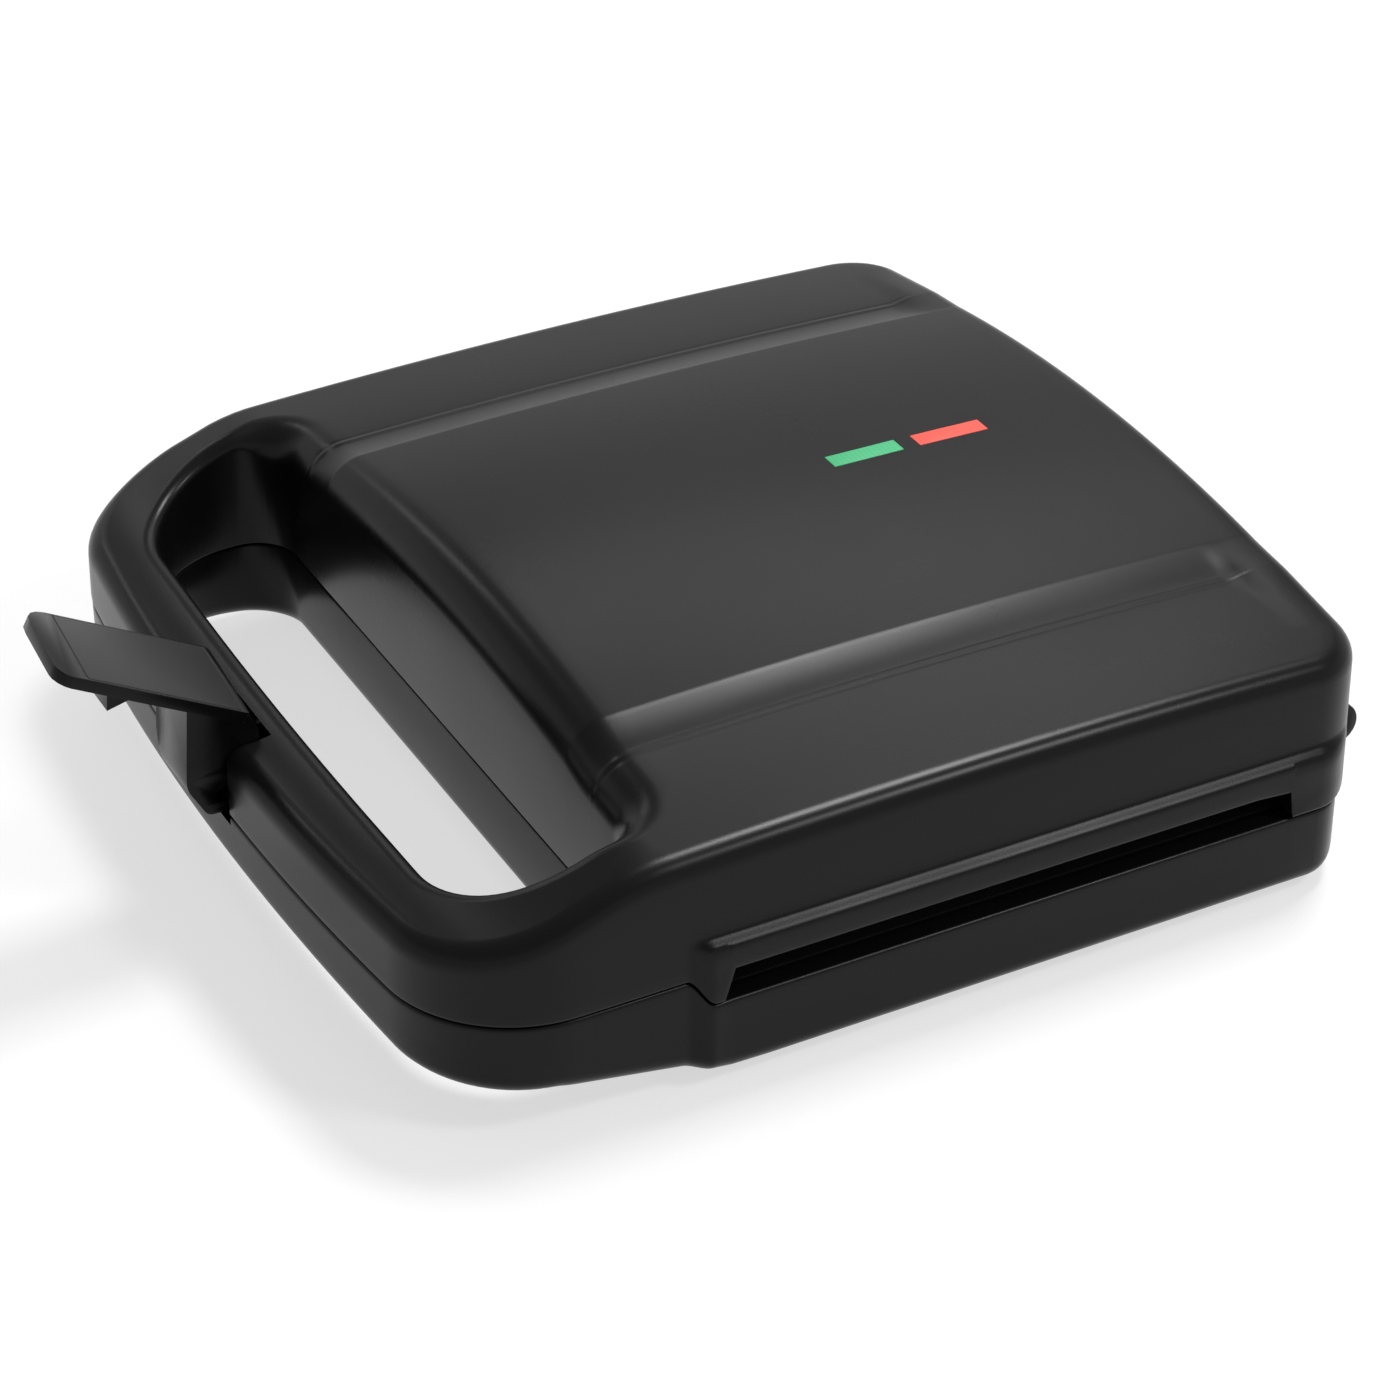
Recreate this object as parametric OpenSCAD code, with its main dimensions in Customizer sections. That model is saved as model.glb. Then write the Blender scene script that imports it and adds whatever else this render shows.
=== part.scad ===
// Sandwich toaster with a hinged lid, two coated plates and a front latch.
// Millimetres, +Z up, the front with the handle and latch towards -Y.
// The origin is on the table, below the middle of the toaster with its latch and hinges.

/* [Housing] */
// Width across the side walls, without the side bulges
body_width = 230; // [216:1:250]
// Depth from the front of the handle to the rear wall
body_depth = 240; // [232:1:262]
// Height of the lid's crown above the seam at the front
crown_rise = 43.5; // [41:0.5:54]
// How much the crown falls towards the front and the rear
crown_sag = 2.2; // [1:0.1:3.4]
// Wall of both housings
wall = 2.6; // [2:0.1:3]
// How far the seam steps down behind the handle
seam_step = 6; // [4.5:0.1:6.4]
// Gap between lid and base along the seam
seam_gap = 0.4; // [0.3:0.1:0.8]
// Space between the table and the base's underside
ground_gap = 4.6; // [4:0.2:7]
// How far the base's rear wall stands inside the lid's
rear_inset = 1.5; // [0.5:0.1:2]

/* [Outline] */
// Radius of the front corners
front_corner = 32; // [24:1:38]
// Radius of the rear corners
rear_corner = 16; // [12:1:22]
// How far the front bows forward between its corners
front_bow = 4.5; // [2:0.5:7]
// How far the side bulges stand out
bulge = 2.2; // [1.5:0.1:3]
// Height of the lid bulge's crest above the slot
crest_rise = 5.8; // [4.6:0.2:8]

/* [Handle] */
// Width of each leg beside the opening
leg_width = 16.6; // [15:0.2:19]
// Depth of the bar in front of the opening
bar_depth = 18; // [17:0.5:22]
// Clear depth of the opening
finger_gap = 40.4; // [36:0.2:46]
// Height of the bar above the seam
bar_rise = 17; // [16:0.5:21]
// Depth of the bar below the seam, at its middle
bar_drop = 13; // [12:0.5:15]
// Depth of the handle below the seam, at its corners
corner_drop = 16.5; // [15.5:0.5:19]
// Radius of the opening's front corners
opening_front_corner = 26; // [20:1:30]
// Radius of the opening's back corners
opening_back_corner = 11; // [8:0.5:14]
// How far the bar's inner edge bows forward
bar_bow = 1.5; // [0.5:0.5:3]

/* [Lid top] */
// Fall of the crown from the middle to each flute
crown_fall = 4.6; // [3:0.2:6]
// Distance of each flute from the middle line
flute_place = 69.4; // [64:0.2:76]
// Width of each flute
flute_width = 8; // [6:0.5:10]
// Depth of each flute below the shoulder beside it
flute_depth = 1.1; // [0.6:0.1:1.4]
// Fall of the shoulders to the side walls
shoulder_fall = 3.5; // [2:0.1:5]
// Radius from the panel down into the handle opening
panel_radius = 10; // [6:0.5:12]
// Radius of the handle's inner rim
rim_radius = 4; // [3:0.5:5]
// Radius of the lid's outer edge
edge_radius = 6; // [4:0.5:7]
// Radius along the base's underside
under_radius = 5; // [3.5:0.5:6]

/* [Vent slots] */
// Clear height of the slot in each side
slot_height = 8; // [6:0.5:9]
// Front end of each slot, behind the opening's back wall
slot_start = 14.2; // [12:0.2:18]
// Rear end of each slot, in front of the rear wall
slot_stop = 24.3; // [20:0.2:34]

/* [Lamps] */
// Width of each lens
lens_width = 5.2; // [4:0.2:7]
// Length of each lens
lens_length = 19; // [14:0.5:22]
// Space between the two lenses
lens_space = 4.5; // [3:0.5:8]
// Middle of the pair of lenses, behind the housing's middle
lens_place = 62.3; // [50:0.5:70]
// Clearance round each lens
lens_clearance = 0.1; // [0.05:0.05:0.3]
// Diameter of each lamp
lamp_diameter = 5; // [4:0.2:6]
// Depth of the lamp holder below the crown
holder_drop = 14.5; // [13:0.5:16]
// Thickness of the lamp holder
holder_sheet = 2; // [1.6:0.1:2.4]
// Distance of the holder's posts from the middle line
post_place = 9; // [8:0.5:12]
// Diameter of the holder's posts
post_diameter = 5; // [4:0.2:6]

/* [Plates] */
// Room between each plate and the outside of the side walls
plate_side = 11; // [9.8:0.2:14]
// Room between the plates and the rear wall
rear_room = 26; // [23:0.5:32]
// Distance of the plates from the opening's back wall
plate_place = 25.6; // [24:0.2:30]
// Depth of the plane where the plates meet, below the front seam
plate_drop = 2; // [1.4:0.1:2.4]
// Thickness of each plate's rim
plate_rim = 2; // [1.6:0.1:2.2]
// Gap between the closed plates
plate_gap = 0.4; // [0.3:0.1:0.8]
// Depth of the sandwich pockets
pocket_depth = 8; // [6:0.5:8.5]
// Metal under each pocket
pocket_skin = 1.8; // [1.4:0.1:2]
// Flat rim between a pocket and the plate's edge
pocket_margin = 7; // [5:0.5:9]
// Flat ridge between two pockets
pocket_ridge = 6; // [4:0.5:9]

/* [Heating] */
// Diameter of each heating element
element_diameter = 6.4; // [5.6:0.2:6.6]
// Bend radius of each heating element
element_bend = 14; // [11:0.5:18]
// Distance of each element from the plate's edge
element_margin = 26; // [22:0.5:34]
// Gap between an element and its plate
element_gap = 0.2; // [0.1:0.05:0.4]
// Sheet thickness of the heat shields
shield_sheet = 0.6; // [0.5:0.1:0.8]
// Space between an element and its heat shield
shield_space = 0.8; // [0.6:0.1:1]
// Space between the lower heat shield and the base's floor
floor_space = 1.8; // [1.6:0.1:3]
// Width of the saddles that hold each element
saddle_width = 12; // [10:0.5:14]
// Length of the saddles
saddle_length = 8; // [6:0.5:10]
// Distance of the saddles from the plate's middle
saddle_place = 18; // [12:0.5:20]
// Diameter of the thermostat's flange
thermostat_diameter = 11.6; // [10:0.2:12.4]
// Distance of the thermostat from the middle line
thermostat_place = 38; // [32:1:60]

/* [Frames] */
// Clearance between each frame and its housing
frame_clearance = 0.4; // [0.3:0.1:0.6]
// Thickness of the frames
frame_sheet = 2.6; // [2.2:0.1:2.8]
// How far each frame's deck lies behind its plate's rim
frame_lift = 2.2; // [1.6:0.1:2.8]
// Width of the rim that carries a plate
frame_rim = 2.4; // [2:0.2:3]
// Diameter of the screws
screw_diameter = 3; // [2.6:0.2:3.4]
// Diameter of the screw bosses
boss_diameter = 8; // [7:0.5:9]
// Length of the screws in the lid
lid_screw_length = 11; // [9:0.5:12]
// Length of the base's screws below the lower frame
base_screw_length = 8; // [6:0.5:9]
// How far the plates' screws go into their bosses
plate_screw_bite = 5.8; // [4.6:0.2:6.4]

/* [Hinge] */
// Diameter of the hinge pins
hinge_pin_diameter = 4; // [3:0.1:4.6]
// Diameter of the hinge knuckles
knuckle_diameter = 10.8; // [9.6:0.2:11.2]
// Width of the base's knuckle
knuckle_width = 11.2; // [9:0.2:14]
// Width of each of the lid's hinge ears
ear_width = 6; // [5:0.2:8]
// Running clearance between knuckle and ears
ear_clearance = 0.4; // [0.3:0.05:0.8]
// Distance of each hinge from the outside of its side wall
hinge_inset = 33; // [31:0.5:46]
// Distance of the hinge axis behind the rear wall
hinge_back = 6; // [5.8:0.1:7]
// Height of the hinge axis above the side seam
hinge_rise = 3; // [2.6:0.1:3.6]

/* [Latch] */
// Width of the lever's arm
arm_width = 18.4; // [14:0.2:22]
// Width of the paddle
paddle_width = 29.4; // [24:0.2:34]
// Length of the paddle
paddle_length = 52; // [46:1:58]
// Thickness of the paddle
paddle_sheet = 2.8; // [2.4:0.1:3.4]
// Distance of the paddle's root behind the front of the bar
root_back = 6.5; // [5:0.1:7.5]
// Height of the paddle's root above the bar
root_rise = 9; // [7:0.2:12]
// Rise of the paddle above the level, in degrees
paddle_rise = 25.5; // [20:0.5:30]
// Rake of the paddle's ends, in degrees
paddle_rake = 7; // [0:1:12]
// Length of the grey inset
inset_length = 42; // [34:1:43]
// Bare end of the paddle beyond the inset
inset_place = 8; // [7:0.5:9]
// Diameter of the latch pin
latch_pin_diameter = 3; // [2.6:0.1:3.4]
// Width of the hook at its end
hook_width = 9.6; // [8:0.2:14]
// Distance of the latch pin behind the front of the bar
latch_pin_back = 4.5; // [4:0.1:5.5]
// Distance of the latch pin below the bar's top
latch_pin_drop = 5.5; // [5:0.1:6.5]
// Space beside the arm in its notch
arm_clearance = 0.4; // [0.3:0.1:0.8]
// How far the hook reaches under the catch
hook_bite = 1.2; // [0.8:0.1:1.5]
// Gap between the hook and the catch
hook_gap = 0.4; // [0.3:0.1:0.8]
// Wire diameter of the latch spring
spring_wire = 0.8; // [0.6:0.1:1]

/* [Feet and lead] */
// Diameter of the rubber feet
foot_diameter = 15; // [12:0.5:18]
// Distance of the feet from the sides
foot_inset = 21; // [17:0.5:28]
// Depth of each foot's seat in the base
foot_seat = 1.2; // [0.8:0.1:1.6]
// Diameter of the lead's gland
gland_diameter = 12; // [10:0.5:13]
// Diameter of the lead that the gland takes
lead_diameter = 6.6; // [6:0.2:7.4]
// Distance of the gland from the outside of the side wall
gland_inset = 75; // [60:1:90]

/* [Hidden] */
$fn = 48;
half_width = body_width / 2;
stack = floor_space + shield_sheet + shield_space + element_diameter + element_gap
    + pocket_skin + pocket_depth + plate_gap / 2;
front_seam = ground_gap + wall + stack + plate_drop;
side_seam = front_seam - seam_step;
plate_plane = front_seam - plate_drop;
lid_height = front_seam + crown_rise;
bulge_crest = side_seam + slot_height + crest_rise;
bar_top = front_seam + bar_rise;
bar_bottom = front_seam - bar_drop;
corner_bottom = front_seam - corner_drop;
hinge_height = side_seam + hinge_rise;
// The whole toaster, from the paddle's tip to the hinges, is centred on the origin
paddle_reach = (paddle_length + paddle_width / 2 * tan(paddle_rake)) * cos(paddle_rise)
    + paddle_sheet * sin(paddle_rise) - root_back;
hinge_reach = hinge_back + knuckle_diameter / 2;
middle_y = round((paddle_reach - hinge_reach) / 2);
hinge_place = half_width - hinge_inset;
front = middle_y - body_depth / 2;
rear = middle_y + body_depth / 2;
opening_half = half_width - leg_width;
opening_front = front + bar_depth;
opening_back = opening_front + finger_gap;
slot_front = opening_back + slot_start;
slot_rear = rear - slot_stop;
step_back = slot_front - 4.6;
step_front = step_back - 6;

// ---- Small functions ----

function mix(a, b, t) = a + (b - a) * t;
function clamped(t) = max(0, min(1, t));
function eased(t) = (1 - cos(180 * clamped(t))) / 2;

// ---- The two outlines of the housing, seen from above ----

// Radius of the long arc between two corners, from half its width and its rise
function bow_radius(half, rise) = (half * half + rise * rise) / (2 * rise);
outer_bow = bow_radius(half_width - front_corner, front_bow);
inner_bow = bow_radius(opening_half - opening_front_corner, bar_bow);
outer_lean = asin((half_width - front_corner) / (outer_bow - front_corner));
inner_lean = asin((opening_half - opening_front_corner) / (inner_bow - opening_front_corner));
outer_corner_y = front + outer_bow
    - (outer_bow - front_corner) * cos(outer_lean);
inner_corner_y = opening_front + inner_bow
    - (inner_bow - opening_front_corner) * cos(inner_lean);
fan_x = opening_half - opening_back_corner;
fan_y = opening_back - opening_back_corner;

// A station holds the inner point, its normal, the outer point, its normal
function corner_station(u) =
    let (a = u * (90 - inner_lean), b = u * (90 - outer_lean))
    [
        [opening_half - opening_front_corner + opening_front_corner * cos(a),
            inner_corner_y - opening_front_corner * sin(a)],
        [cos(a), -sin(a)],
        [half_width - front_corner + front_corner * cos(b),
            outer_corner_y - front_corner * sin(b)],
        [cos(b), -sin(b)]
    ];
function bar_station(u) =
    let (a = inner_lean * (1 - u), b = outer_lean * (1 - u))
    [
        [inner_bow * sin(a), opening_front + inner_bow * (1 - cos(a))],
        [sin(a), -cos(a)],
        [outer_bow * sin(b), front + outer_bow * (1 - cos(b))],
        [sin(b), -cos(b)]
    ];
function panel_station(x) = [[x, opening_back], [0, 1], [x, rear], [0, 1]];
// The fan's rays all pass through the centre of the opening's back corner
function fan_station(q, m) =
    let (d = q - [fan_x, fan_y], n = d / norm(d))
    [[fan_x, fan_y] + opening_back_corner * n, n, q, m];
function rear_corner_station(u) =
    let (m = [sin(90 * u), cos(90 * u)])
    fan_station([half_width - rear_corner, rear - rear_corner] + rear_corner * m, m);
function side_station(y) = fan_station([half_width, y], [1, 0]);

panel_places = [
    for (t = [0, 0.25, 0.5, 0.75, 0.93]) flute_place * t,
    for (t = [0, 0.12, 0.3, 0.55, 0.8, 1]) flute_place + flute_width * t,
    (flute_place + flute_width + fan_x) / 2
];
side_places = [
    slot_rear + 0.3, slot_rear, mix(slot_rear, slot_front, 0.25), mix(slot_rear, slot_front, 0.5),
    mix(slot_rear, slot_front, 0.7), mix(slot_rear, slot_front, 0.86), slot_front,
    slot_front - 2.6, step_back, mix(step_back, step_front, 0.25), mix(step_back, step_front, 0.5),
    mix(step_back, step_front, 0.75), step_front, mix(step_front, fan_y, 0.5), fan_y
];
half_stations = [
    for (x = panel_places) panel_station(x),
    fan_station([fan_x, rear], [0, 1]),
    for (u = [0, 0.2, 0.4, 0.6, 0.8, 1]) rear_corner_station(u),
    for (y = side_places) side_station(y),
    for (u = [0, 1/7, 2/7, 3/7, 4/7, 5/7, 6/7]) corner_station(u),
    for (u = [0, 0.25, 0.5, 0.75, 1]) bar_station(u)
];
half_count = len(half_stations);
function flipped(p) = [-p[0], p[1]];
stations = [
    for (s = half_stations) s,
    for (i = [half_count - 2:-1:1])
        let (s = half_stations[i])
        [flipped(s[0]), flipped(s[1]), flipped(s[2]), flipped(s[3])]
];

// ---- Heights over the plan ----

// Height of the smooth lid, without flutes
crown_y = middle_y + body_depth / 10;
crown_half = 95;
function crown(y) = lid_height - crown_sag * pow((y - crown_y) / crown_half, 2);
function cross_fall(x) =
    abs(x) <= flute_place
    ? crown_fall * pow(x / flute_place, 2)
    : crown_fall + 1.7 + shoulder_fall * pow(max(0, abs(x) - flute_place - flute_width) / 35, 1.3);
function front_share(y) = eased((opening_back - y) / (opening_back - front - 6));
function smooth_top(x, y) = mix(crown(y) - cross_fall(x), bar_top, front_share(y));
// The flute's depth, from its section and its rounded rear end
flute_end = rear - 10;
function flute_section(t) =
    t <= 0 || t >= 1 ? 0 : 1.7 * (1 - clamped(t / 0.12)) - flute_depth * sin(180 * pow(t, 0.7));
function flute_fade(y) = 1 - eased((y - flute_end + 5) / 7);
function lid_top(x, y) =
    let (t = (abs(x) - flute_place) / flute_width, f = flute_section(t))
    smooth_top(x, y) + (f > 0 ? f : f * flute_fade(y) * (1 - front_share(y)));
function underside(x, y) =
    mix(ground_gap, corner_bottom, clamped((step_back - 4 - y) / 35))
    + (bar_bottom - corner_bottom) * (1 - pow(min(1, abs(x) / half_width), 2))
    * eased((outer_corner_y - y) / 30);

// How much of the step and the bulge is there at a place along the side
function step_share(y) = eased((y - step_front) / (step_back - step_front));
function bulge_share(y) = step_share(y) * (1 - eased((y - rear + rear_corner) / (rear_corner - 2)));
function seam_height(y) = mix(front_seam, side_seam, step_share(y));

// ---- The housings: rings of points round the handle opening ----

function at(p, z) = [p[0], p[1], z];
inner_edge = front_seam + seam_gap / 2;
lid_levels = [for (z = [0, 11.2, 5.2, 2.8, 1.4, 0, -2.4]) bulge_crest + z];
lid_swell = [0, 0, 0, 0.35, 0.78, 1, 1];
function lid_edge(y) =
    y > slot_front - 0.1 && y < slot_rear + 0.1
    ? side_seam + slot_height
    : seam_height(y) + seam_gap / 2;
function inner_radius(s) = s[1][1] > 0.99 && s[0][0] < fan_x + 0.1
    ? panel_radius
    : mix(rim_radius, panel_radius, eased(s[0][1] > fan_y ? s[1][1] : 0));
function outer_at(s, z, high, swell) =
    s[2] + s[3] * (bulge * swell * bulge_share(s[2][1]) - 0.6 * clamped((z - side_seam) / (high - side_seam)));

function lid_ring(s) =
    let (
        p = s[0], n = s[1], q = s[2], m = s[3],
        r = inner_radius(s), e = edge_radius,
        low = lid_edge(q[1]),
        high = lid_top(q[0], q[1]) - e,
        a = p + n * r,
        b = q - m * (e + 0.6),
        wall_p = p + n * wall,
        wall_q = q - m * (wall + 0.3),
        high_q = smooth_top(q[0], q[1]) - e,
        aa = p + n * max(r, wall + 1),
        rr = max(r - wall, 1),
        ee = max(e - wall, 1)
    )
    [
        at(p, inner_edge),
        for (t = [0, 30, 60])
            let (c = p + n * (r * (1 - cos(t))))
            at(c, lid_top(c[0], c[1]) - r * (1 - sin(t))),
        for (t = [0, 0.06, 0.18, 0.36, 0.56, 0.76, 0.88, 0.94, 1])
            let (c = mix(a, b, t))
            at(c, lid_top(c[0], c[1])),
        for (t = [60, 30, 0])
            let (c = q - m * (0.6 + e * (1 - cos(t))))
            at(c, lid_top(c[0], c[1]) - e * (1 - sin(t))),
        for (i = [1:6])
            let (z = min(lid_levels[i], high - (high - low) * i * 0.12), c = outer_at(s, z, high, lid_swell[i]))
            at(c, z),
        at(outer_at(s, low, high, 0.9), low),
        at(wall_q, low),
        at(wall_q, high_q),
        at(wall_q - m * (ee * 0.3), high_q + ee * 0.7),
        at(wall_q - m * ee, high_q + ee),
        for (t = [0.85, 0.6, 0.3, 0.1, 0])
            let (c = mix(wall_p + n * rr, wall_q - m * ee, t))
            at(c, smooth_top(c[0], c[1]) - wall),
        at(wall_p + n * (rr * 0.3), smooth_top(p[0], p[1]) - wall - rr * 0.3),
        at(wall_p, smooth_top(p[0], p[1]) - wall - rr),
        at(wall_p, inner_edge)
    ];

base_edge = front_seam - seam_gap / 2;
function base_inset(y) = mix(0.3, 0.9, eased((y - step_front) / 12));
function base_ring(s) =
    let (
        p = s[0], n = s[1], m = s[3],
        q = s[2] - m * base_inset(s[2][1]) - [0, m[1] > 0 ? (rear_inset - 0.9) * m[1] : 0],
        f = q + m * (bulge * bulge_share(s[2][1])),
        r = under_radius,
        high = seam_height(s[2][1]) - seam_gap / 2,
        wall_p = p + n * wall,
        wall_q = q - m * wall
    )
    [
        at(p, base_edge),
        for (t = [0, 45, 90])
            let (c = p + n * (r * (1 - cos(t))))
            at(c, underside(c[0], c[1]) + r * (1 - sin(t))),
        for (t = [0.1, 0.35, 0.65, 0.9])
            let (c = mix(p + n * r, f - m * r, t))
            at(c, underside(c[0], c[1])),
        for (t = [90, 60, 30, 0])
            let (c = f - m * (r * (1 - cos(t))))
            at(c, underside(c[0], c[1]) + r * (1 - sin(t))),
        at(f, mix(underside(f[0], f[1]) + r, high, 0.6)),
        at(f, high - 1),
        at(f - m * 0.5, high),
        at(wall_q, high),
        at(wall_q, underside(q[0], q[1]) + wall + 1),
        for (t = [1, 0.7, 0.3, 0])
            let (c = mix(wall_p + n, wall_q - m, t))
            at(c, underside(c[0], c[1]) + wall),
        at(wall_p, underside(p[0], p[1]) + wall + 1),
        at(wall_p, base_edge)
    ];

// Closes rings of equal length into one solid round the opening
module ring_solid(rings) {
    count = len(rings);
    size = len(rings[0]);
    points = [for (ring = rings) for (p = ring) p];
    faces = [
        for (i = [0:count - 1])
            for (j = [0:size - 1])
                let (
                    k = (i + 1) % count,
                    l = (j + 1) % size,
                    a = i * size + j, b = k * size + j, c = k * size + l, d = i * size + l
                )
                each [[a, b, c], [a, c, d]]
    ];
    polyhedron(points = points, faces = faces, convexity = 10);
}

// ---- Shared places ----

// Plates, pockets and what lies below them, from the plane where they meet
plate_front = opening_back + plate_place;
plate_rear = rear - rear_room;
plate_width = body_width - 2 * plate_side;
plate_mid = (plate_front + plate_rear) / 2;
pocket_half = plate_width / 2 - pocket_margin;
rim_top = plate_plane - plate_gap / 2;
deck_top = rim_top - plate_rim - frame_lift;
deck_low = deck_top - frame_sheet;
skin_low = rim_top - pocket_depth - pocket_skin;
element_z = skin_low - element_gap - element_diameter / 2;
shield_top = element_z - element_diameter / 2 - shield_space;
shield_low = shield_top - shield_sheet;
floor_top = ground_gap + wall;
window_half = pocket_half + pocket_skin + 0.6;
window_front = plate_front + pocket_margin - pocket_skin - 0.6;
window_rear = plate_rear - pocket_margin + pocket_skin + 0.6;
tray_gap = 0.6;
tray_rear = window_rear + tray_gap + shield_sheet;
upper_deck = 2 * plate_plane - deck_low;

// Screws that hold the frames, before and behind the plates
frame_front = opening_back + wall + frame_clearance;
base_inner_rear = rear - rear_inset - wall;
boss_x = half_width - 51;
boss_front_y = (frame_front + window_front) / 2 + 1;
boss_rear_y = (window_rear + 4.6 + base_inner_rear) / 2;
boss_places = [for (x = [-boss_x, boss_x]) for (y = [boss_front_y, boss_rear_y]) [x, y]];
// Screws that hold each plate and its heat shield together
pocket_mid = (pocket_half + pocket_ridge / 2) / 2;
plate_screw_places = [
    [0, plate_mid - 25], [0, plate_mid + 25], [-pocket_mid, plate_mid], [pocket_mid, plate_mid]
];

head_height = 0.4 * screw_diameter;
head_diameter = screw_diameter * 1.9;
screw_hole = screw_diameter + 0.1;

// Hinge
axis_y = rear + hinge_back;
knuckle_side = knuckle_width / 2 + ear_clearance;
pin_length = 2 * (knuckle_side + ear_width);

// Latch
pivot_y = front + latch_pin_back;
pivot_z = bar_top - latch_pin_drop;
notch_half = arm_width / 2 + arm_clearance;
cheek = 2.6;
notch_back = front + 12;
catch_low = front_seam + 2;
catch_top = catch_low + 1.5;
catch_front = front + 1.4;
lip_top = catch_low - hook_gap;
lip_back = catch_front + hook_bite;
arm_inner = catch_front - 2.6;
root_y = front + root_back;
root_z = bar_top + root_rise;

// Lamps, below the lenses
lens_y = middle_y + lens_place;
lens_centres = [for (k = [-0.5, 0.5]) lens_y + k * (lens_length + lens_space)];
holder_top = lid_height - holder_drop;

// Feet, a little in from the corners
foot_x = half_width - foot_inset;
foot_front_y = step_back + 14;
foot_rear_y = rear - foot_inset;
gland_x = gland_inset - half_width;
gland_z = (floor_top + side_seam) / 2 - 1;

// ---- Small shapes ----

module block(x0, x1, y0, y1, z0, z1) {
    translate([x0, y0, z0])
    cube([x1 - x0, y1 - y0, z1 - z0]);
}

// A profile drawn in Y and Z, pushed along X
module slab(x0, x1) {
    translate([x0, 0, 0])
    rotate([90, 0, 90])
    linear_extrude(x1 - x0)
    children();
}

module rod(x0, x1, y, z, d) {
    translate([x0, y, z])
    rotate([0, 90, 0])
    cylinder(d = d, h = x1 - x0);
}

module both_sides() {
    children();
    mirror([1, 0, 0])
    children();
}

// The upper half repeats the lower one, turned over at the plates' plane
module turned_over() {
    translate([0, 0, 2 * plate_plane])
    mirror([0, 0, 1])
    children();
}

// Rounds the corners of a closed outline
function unit(v) = v / norm(v);
function half_angle(a, b, c) = acos(unit(a - b) * unit(c - b)) / 2;
function corner_arc(a, b, c, r, n) =
    let (
        h = half_angle(a, b, c),
        centre = b + unit(unit(a - b) + unit(c - b)) * (r / sin(h)),
        p = b + unit(a - b) * (r / tan(h)) - centre,
        q = b + unit(c - b) * (r / tan(h)) - centre,
        from = atan2(p[1], p[0]),
        turn = (atan2(q[1], q[0]) - from + 900) % 360 - 180
    )
    [for (k = [0:n]) centre + r * [cos(from + turn * k / n), sin(from + turn * k / n)]];
function rounded(points, radii, n = 4) =
    let (c = len(points))
    [for (k = [0:c - 1]) each corner_arc(points[(k + c - 1) % c], points[k], points[(k + 1) % c], radii[k], n)];
function drawn_in(points, by) =
    let (c = len(points))
    [
        for (k = [0:c - 1])
            let (a = points[(k + c - 1) % c], b = points[k], d = points[(k + 1) % c])
            b + unit(unit(a - b) + unit(d - b)) * (by / sin(half_angle(a, b, d)))
    ];

// A solid between two outlines of as many points, at two heights
module frustum(low, z_low, high, z_high) {
    c = len(low);
    polyhedron(
        points = [for (p = low) at(p, z_low), for (p = high) at(p, z_high)],
        faces = [
            [for (k = [0:c - 1]) k],
            [for (k = [0:c - 1]) 2 * c - 1 - k],
            for (k = [0:c - 1]) each [[k, c + k, c + (k + 1) % c], [k, c + (k + 1) % c, (k + 1) % c]]
        ]
    );
}

// A place on the lid's roof, tilted as the crown is there
module at_lens(y) {
    translate([0, y, lid_top(0, y)])
    rotate([atan(-2 * crown_sag * (y - crown_y) / pow(crown_half, 2)), 0, 0])
    children();
}

module lens_block(grow, low, high) {
    block(-lens_width / 2 - grow, lens_width / 2 + grow,
        -lens_length / 2 - grow, lens_length / 2 + grow, low, high);
}

// ---- Housings ----

module lid_additions() {
    // Bosses for the frame's screws, up into the roof
    for (p = boss_places)
        translate([p[0], p[1], upper_deck])
        cylinder(d = boss_diameter, h = smooth_top(p[0], p[1]) - wall / 2 - upper_deck);
    // Posts that carry the lamp holder
    for (x = [-post_place, post_place])
        translate([x, lens_y, holder_top])
        cylinder(d = post_diameter, h = smooth_top(x, lens_y) - wall / 2 - holder_top);
    // Ears of the two hinges
    both_sides()
    for (x = [-knuckle_side - ear_width, knuckle_side]) {
        rod(hinge_place + x, hinge_place + x + ear_width, axis_y, hinge_height, knuckle_diameter);
        block(hinge_place + x, hinge_place + x + ear_width, rear - wall / 2, axis_y,
            hinge_height - 2, hinge_height + knuckle_diameter / 2);
    }
    // Cheeks that carry the latch pin, and the rib behind the lever
    both_sides()
    slab(notch_half, notch_half + cheek)
    polygon([
        [front + 1, front_seam + 1], [front + 1, bar_top - edge_radius + 2.6],
        [front + 3.5, bar_top - 1.1], [front + 13, bar_top - 1.1], [front + 13, front_seam + 1]
    ]);
    block(-notch_half - 1, notch_half + 1, notch_back, notch_back + 1.6, front_seam + 1, bar_top - 1.1);
}

module lid_cuts() {
    for (y = lens_centres)
        at_lens(y)
        lens_block(lens_clearance, -wall - 2, 2);
    for (p = boss_places)
        translate([p[0], p[1], upper_deck - 1])
        cylinder(d = screw_hole, h = lid_screw_length + 2);
    // The lever's notch in the front of the bar
    block(-notch_half, notch_half, front - 2, notch_back, front_seam - 2, bar_top + 8);
    rod(-notch_half - 4, notch_half + 4, pivot_y, pivot_z, latch_pin_diameter + 0.02);
    both_sides()
    rod(hinge_place - pin_length / 2 - 1, hinge_place + pin_length / 2 + 1,
        axis_y, hinge_height, hinge_pin_diameter + 0.02);
}

module upper_shell() {
    color([0.07, 0.07, 0.07])
    difference() {
        union() {
            ring_solid([for (i = [len(stations) - 1:-1:0]) lid_ring(stations[i])]);
            lid_additions();
        }
        lid_cuts();
    }
}

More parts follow.
